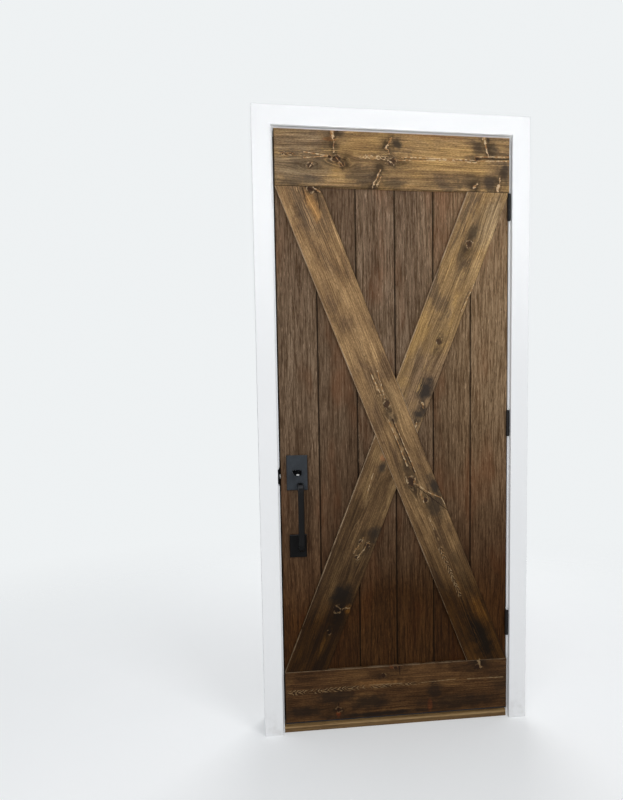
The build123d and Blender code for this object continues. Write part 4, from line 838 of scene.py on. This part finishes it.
threshold_finish, shade = finish_named("threshold_oak")
coordinates = shade.node("ShaderNodeTexCoord").outputs
spot = coordinates["Object"]
x, y, z = shade.axes(spot)
board_place = shade.place(shade.math("MULTIPLY", x, 0.55), z, shade.math("ADD", y, z))
grain = shade.group(pores, Board=board_place, Seed=4.0)
oak = shade.mix(shade.ramp(grain["Streaks"], 0.30, 0.70), (0.172, 0.096, 0.038), (0.420, 0.268, 0.112))
oak = shade.mix(shade.math("MULTIPLY", grain["Pores"], 0.6), oak, (0.026, 0.014, 0.007))
face = shade.ramp(z, NOSE_FOOT, UNDER_NOSE)
oak = shade.mix(shade.math("MULTIPLY", face, 0.66), oak, (0.062, 0.034, 0.016))
# The pale line along the nose is partly wear and partly a painted highlight on its arris.
nose = shade.close_to(z, NOSE_MIDDLE, 0.0045, 0.0005)
front = shade.ramp(y, NOSE_BACK, NOSE_FRONT)
rubbed_and_lit = shade.math("MULTIPLY", shade.math("MULTIPLY", nose, front), shade.ramp(grain["Streaks"], 0.35, 0.6))
oak = shade.mix(shade.math("MULTIPLY", rubbed_and_lit, 0.70), oak, (0.33, 0.225, 0.110))
trodden = shade.ramp(shade.math("ABSOLUTE", x), TREAD_EDGE, TREAD_MIDDLE)
bump = shade.node("ShaderNodeBump", {"Strength": 0.3, "Distance": 0.0006, "Height": grain["Streaks"]})
oiled = shade.node("ShaderNodeBsdfPrincipled", {
    "Base Color": oak,
    "Roughness": shade.math("MULTIPLY_ADD", trodden, 0.12, 0.42),
    "Specular IOR Level": 0.12,
    "Normal": bump.outputs[0],
})
shade.node("ShaderNodeOutputMaterial", {"Surface": oiled.outputs[0]})
dress(["threshold"], threshold_finish)


# The hinges, strike, faceplate and handle: steel and cast metal with a matte black powder coat.
# The coat has a fine orange-peel texture; its upward-facing sharp edges are painted lighter, partly rubbed
# thinner and partly painted highlight.
peel, shade, given, result = group_named(
    "powder_coat",
    [("Place", "vector"), ("Facing", "vector")],
    [("Peel", "value"), ("RubbedAndLit", "value"), ("Dust", "value")],
)
shade.link(shade.noise(given["Place"], 950.0, 2.0), result["Peel"])
worn_and_lit = shade.group(edges, Facing=given["Facing"], Place=given["Place"], Toward=(-0.3, 0.0, 0.95))["WornAndLit"]
shade.link(worn_and_lit, result["RubbedAndLit"])
shade.link(shade.ramp(shade.noise(given["Place"], 45.0, 3.0), 0.45, 0.75), result["Dust"])


def black_metal(name, coat, rubbed_and_lit, roughness, gloss):
    """Powder-coated metal: the coat's colour, how bright its edges are, roughness and gloss."""
    finish, shade = finish_named(name)
    coordinates = shade.node("ShaderNodeTexCoord").outputs
    skin = shade.group(peel, Place=coordinates["Object"], Facing=coordinates["Normal"])
    colour = shade.mix(skin["Dust"], coat, [1.35 * c for c in coat])
    colour = shade.mix(shade.math("MULTIPLY", skin["RubbedAndLit"], rubbed_and_lit), colour, (0.11, 0.11, 0.115))
    bump = shade.node("ShaderNodeBump", {"Strength": 0.18, "Distance": 0.0002, "Height": skin["Peel"]})
    coated = shade.node("ShaderNodeBsdfPrincipled", {
        "Base Color": colour,
        "Roughness": shade.math("MULTIPLY_ADD", skin["Dust"], 0.10, roughness),
        "Specular IOR Level": gloss,
        "Normal": bump.outputs[0],
    })
    shade.node("ShaderNodeOutputMaterial", {"Surface": coated.outputs[0]})
    return finish


HINGE_PARTS = [name for name in parts if name.startswith("hinge_")]
dress(HINGE_PARTS, black_metal("black_hinges", (0.011, 0.010, 0.010), 0.35, 0.42, 0.13))
STRIKE_PARTS = ["strike_plate", "strike_screws", "latch_faceplate", "faceplate_screws"]
dress(STRIKE_PARTS, black_metal("black_strike", (0.007, 0.007, 0.008), 0.4, 0.38, 0.12))
# One coat in three shades: the plate's is painted lighter as a painted reflection of a bright window, the
# foot's and grip's painted darker as painted shade.
dress(["handle_plate", "inside_rose"], black_metal("black_plate_painted_reflection", (0.024, 0.028, 0.033), 0.3, 0.46, 0.14))
dress(["handle_foot", "foot_bolt"], black_metal("black_foot_painted_shade", (0.0040, 0.0038, 0.0038), 0.3, 0.44, 0.065))
GRIP_PARTS = ["handle_grip", "inside_lever"]
dress(GRIP_PARTS, black_metal("black_grip_painted_shade", (0.0035, 0.0033, 0.0033), 0.3, 0.40, 0.10))

# The bright bare spot at the lever's tip is partly thumb wear and partly a painted glint.
THUMB_TIP = (-0.350, -0.109, 0.926)
lever_finish, shade = finish_named("black_thumb_lever")
coordinates = shade.node("ShaderNodeTexCoord").outputs
skin = shade.group(peel, Place=coordinates["Object"], Facing=coordinates["Normal"])
reach = shade.vector("DISTANCE", coordinates["Object"], THUMB_TIP)
thumb_wear_and_glint = shade.ramp(reach, 0.0058, 0.0036)
coat = shade.mix(thumb_wear_and_glint, (0.0022, 0.0022, 0.0024), (0.78, 0.78, 0.77))
bump = shade.node("ShaderNodeBump", {"Strength": 0.18, "Distance": 0.0002, "Height": skin["Peel"]})
lever_metal = shade.node("ShaderNodeBsdfPrincipled", {
    "Base Color": coat,
    "Metallic": thumb_wear_and_glint,
    "Roughness": shade.math("MULTIPLY_ADD", thumb_wear_and_glint, -0.15, 0.42),
    "Specular IOR Level": 0.06,
    "Normal": bump.outputs[0],
})
shade.node("ShaderNodeOutputMaterial", {"Surface": lever_metal.outputs[0]})
dress(["thumb_lever"], lever_finish)


# The latch inside the leaf: zinc-plated steel, stamped and turned, with a light film of oil.
# Only the bolt's nose, the pin and the screw heads ever show.
plated_finish, shade = finish_named("zinc_plate")
spot = shade.node("ShaderNodeTexCoord").outputs["Object"]
lines = shade.noise(shade.stretch(spot, 90.0, 900.0, 900.0), 1.0, 2.0)
zinc = shade.mix(lines, (0.42, 0.42, 0.41), (0.60, 0.60, 0.58))
bump = shade.node("ShaderNodeBump", {"Strength": 0.15, "Distance": 0.0001, "Height": lines})
plated = shade.node("ShaderNodeBsdfPrincipled", {
    "Base Color": zinc,
    "Metallic": 1.0,
    "Roughness": shade.ramp(lines, -0.6, 1.6, smooth=False),
    "Normal": bump.outputs[0],
})
shade.node("ShaderNodeOutputMaterial", {"Surface": plated.outputs[0]})
LATCH_PARTS = ["latch_case", "latch_cam", "latch_bolt", "spindle", "lift_arm", "thumb_pin", "rose_screws"]
dress(LATCH_PARTS, plated_finish)
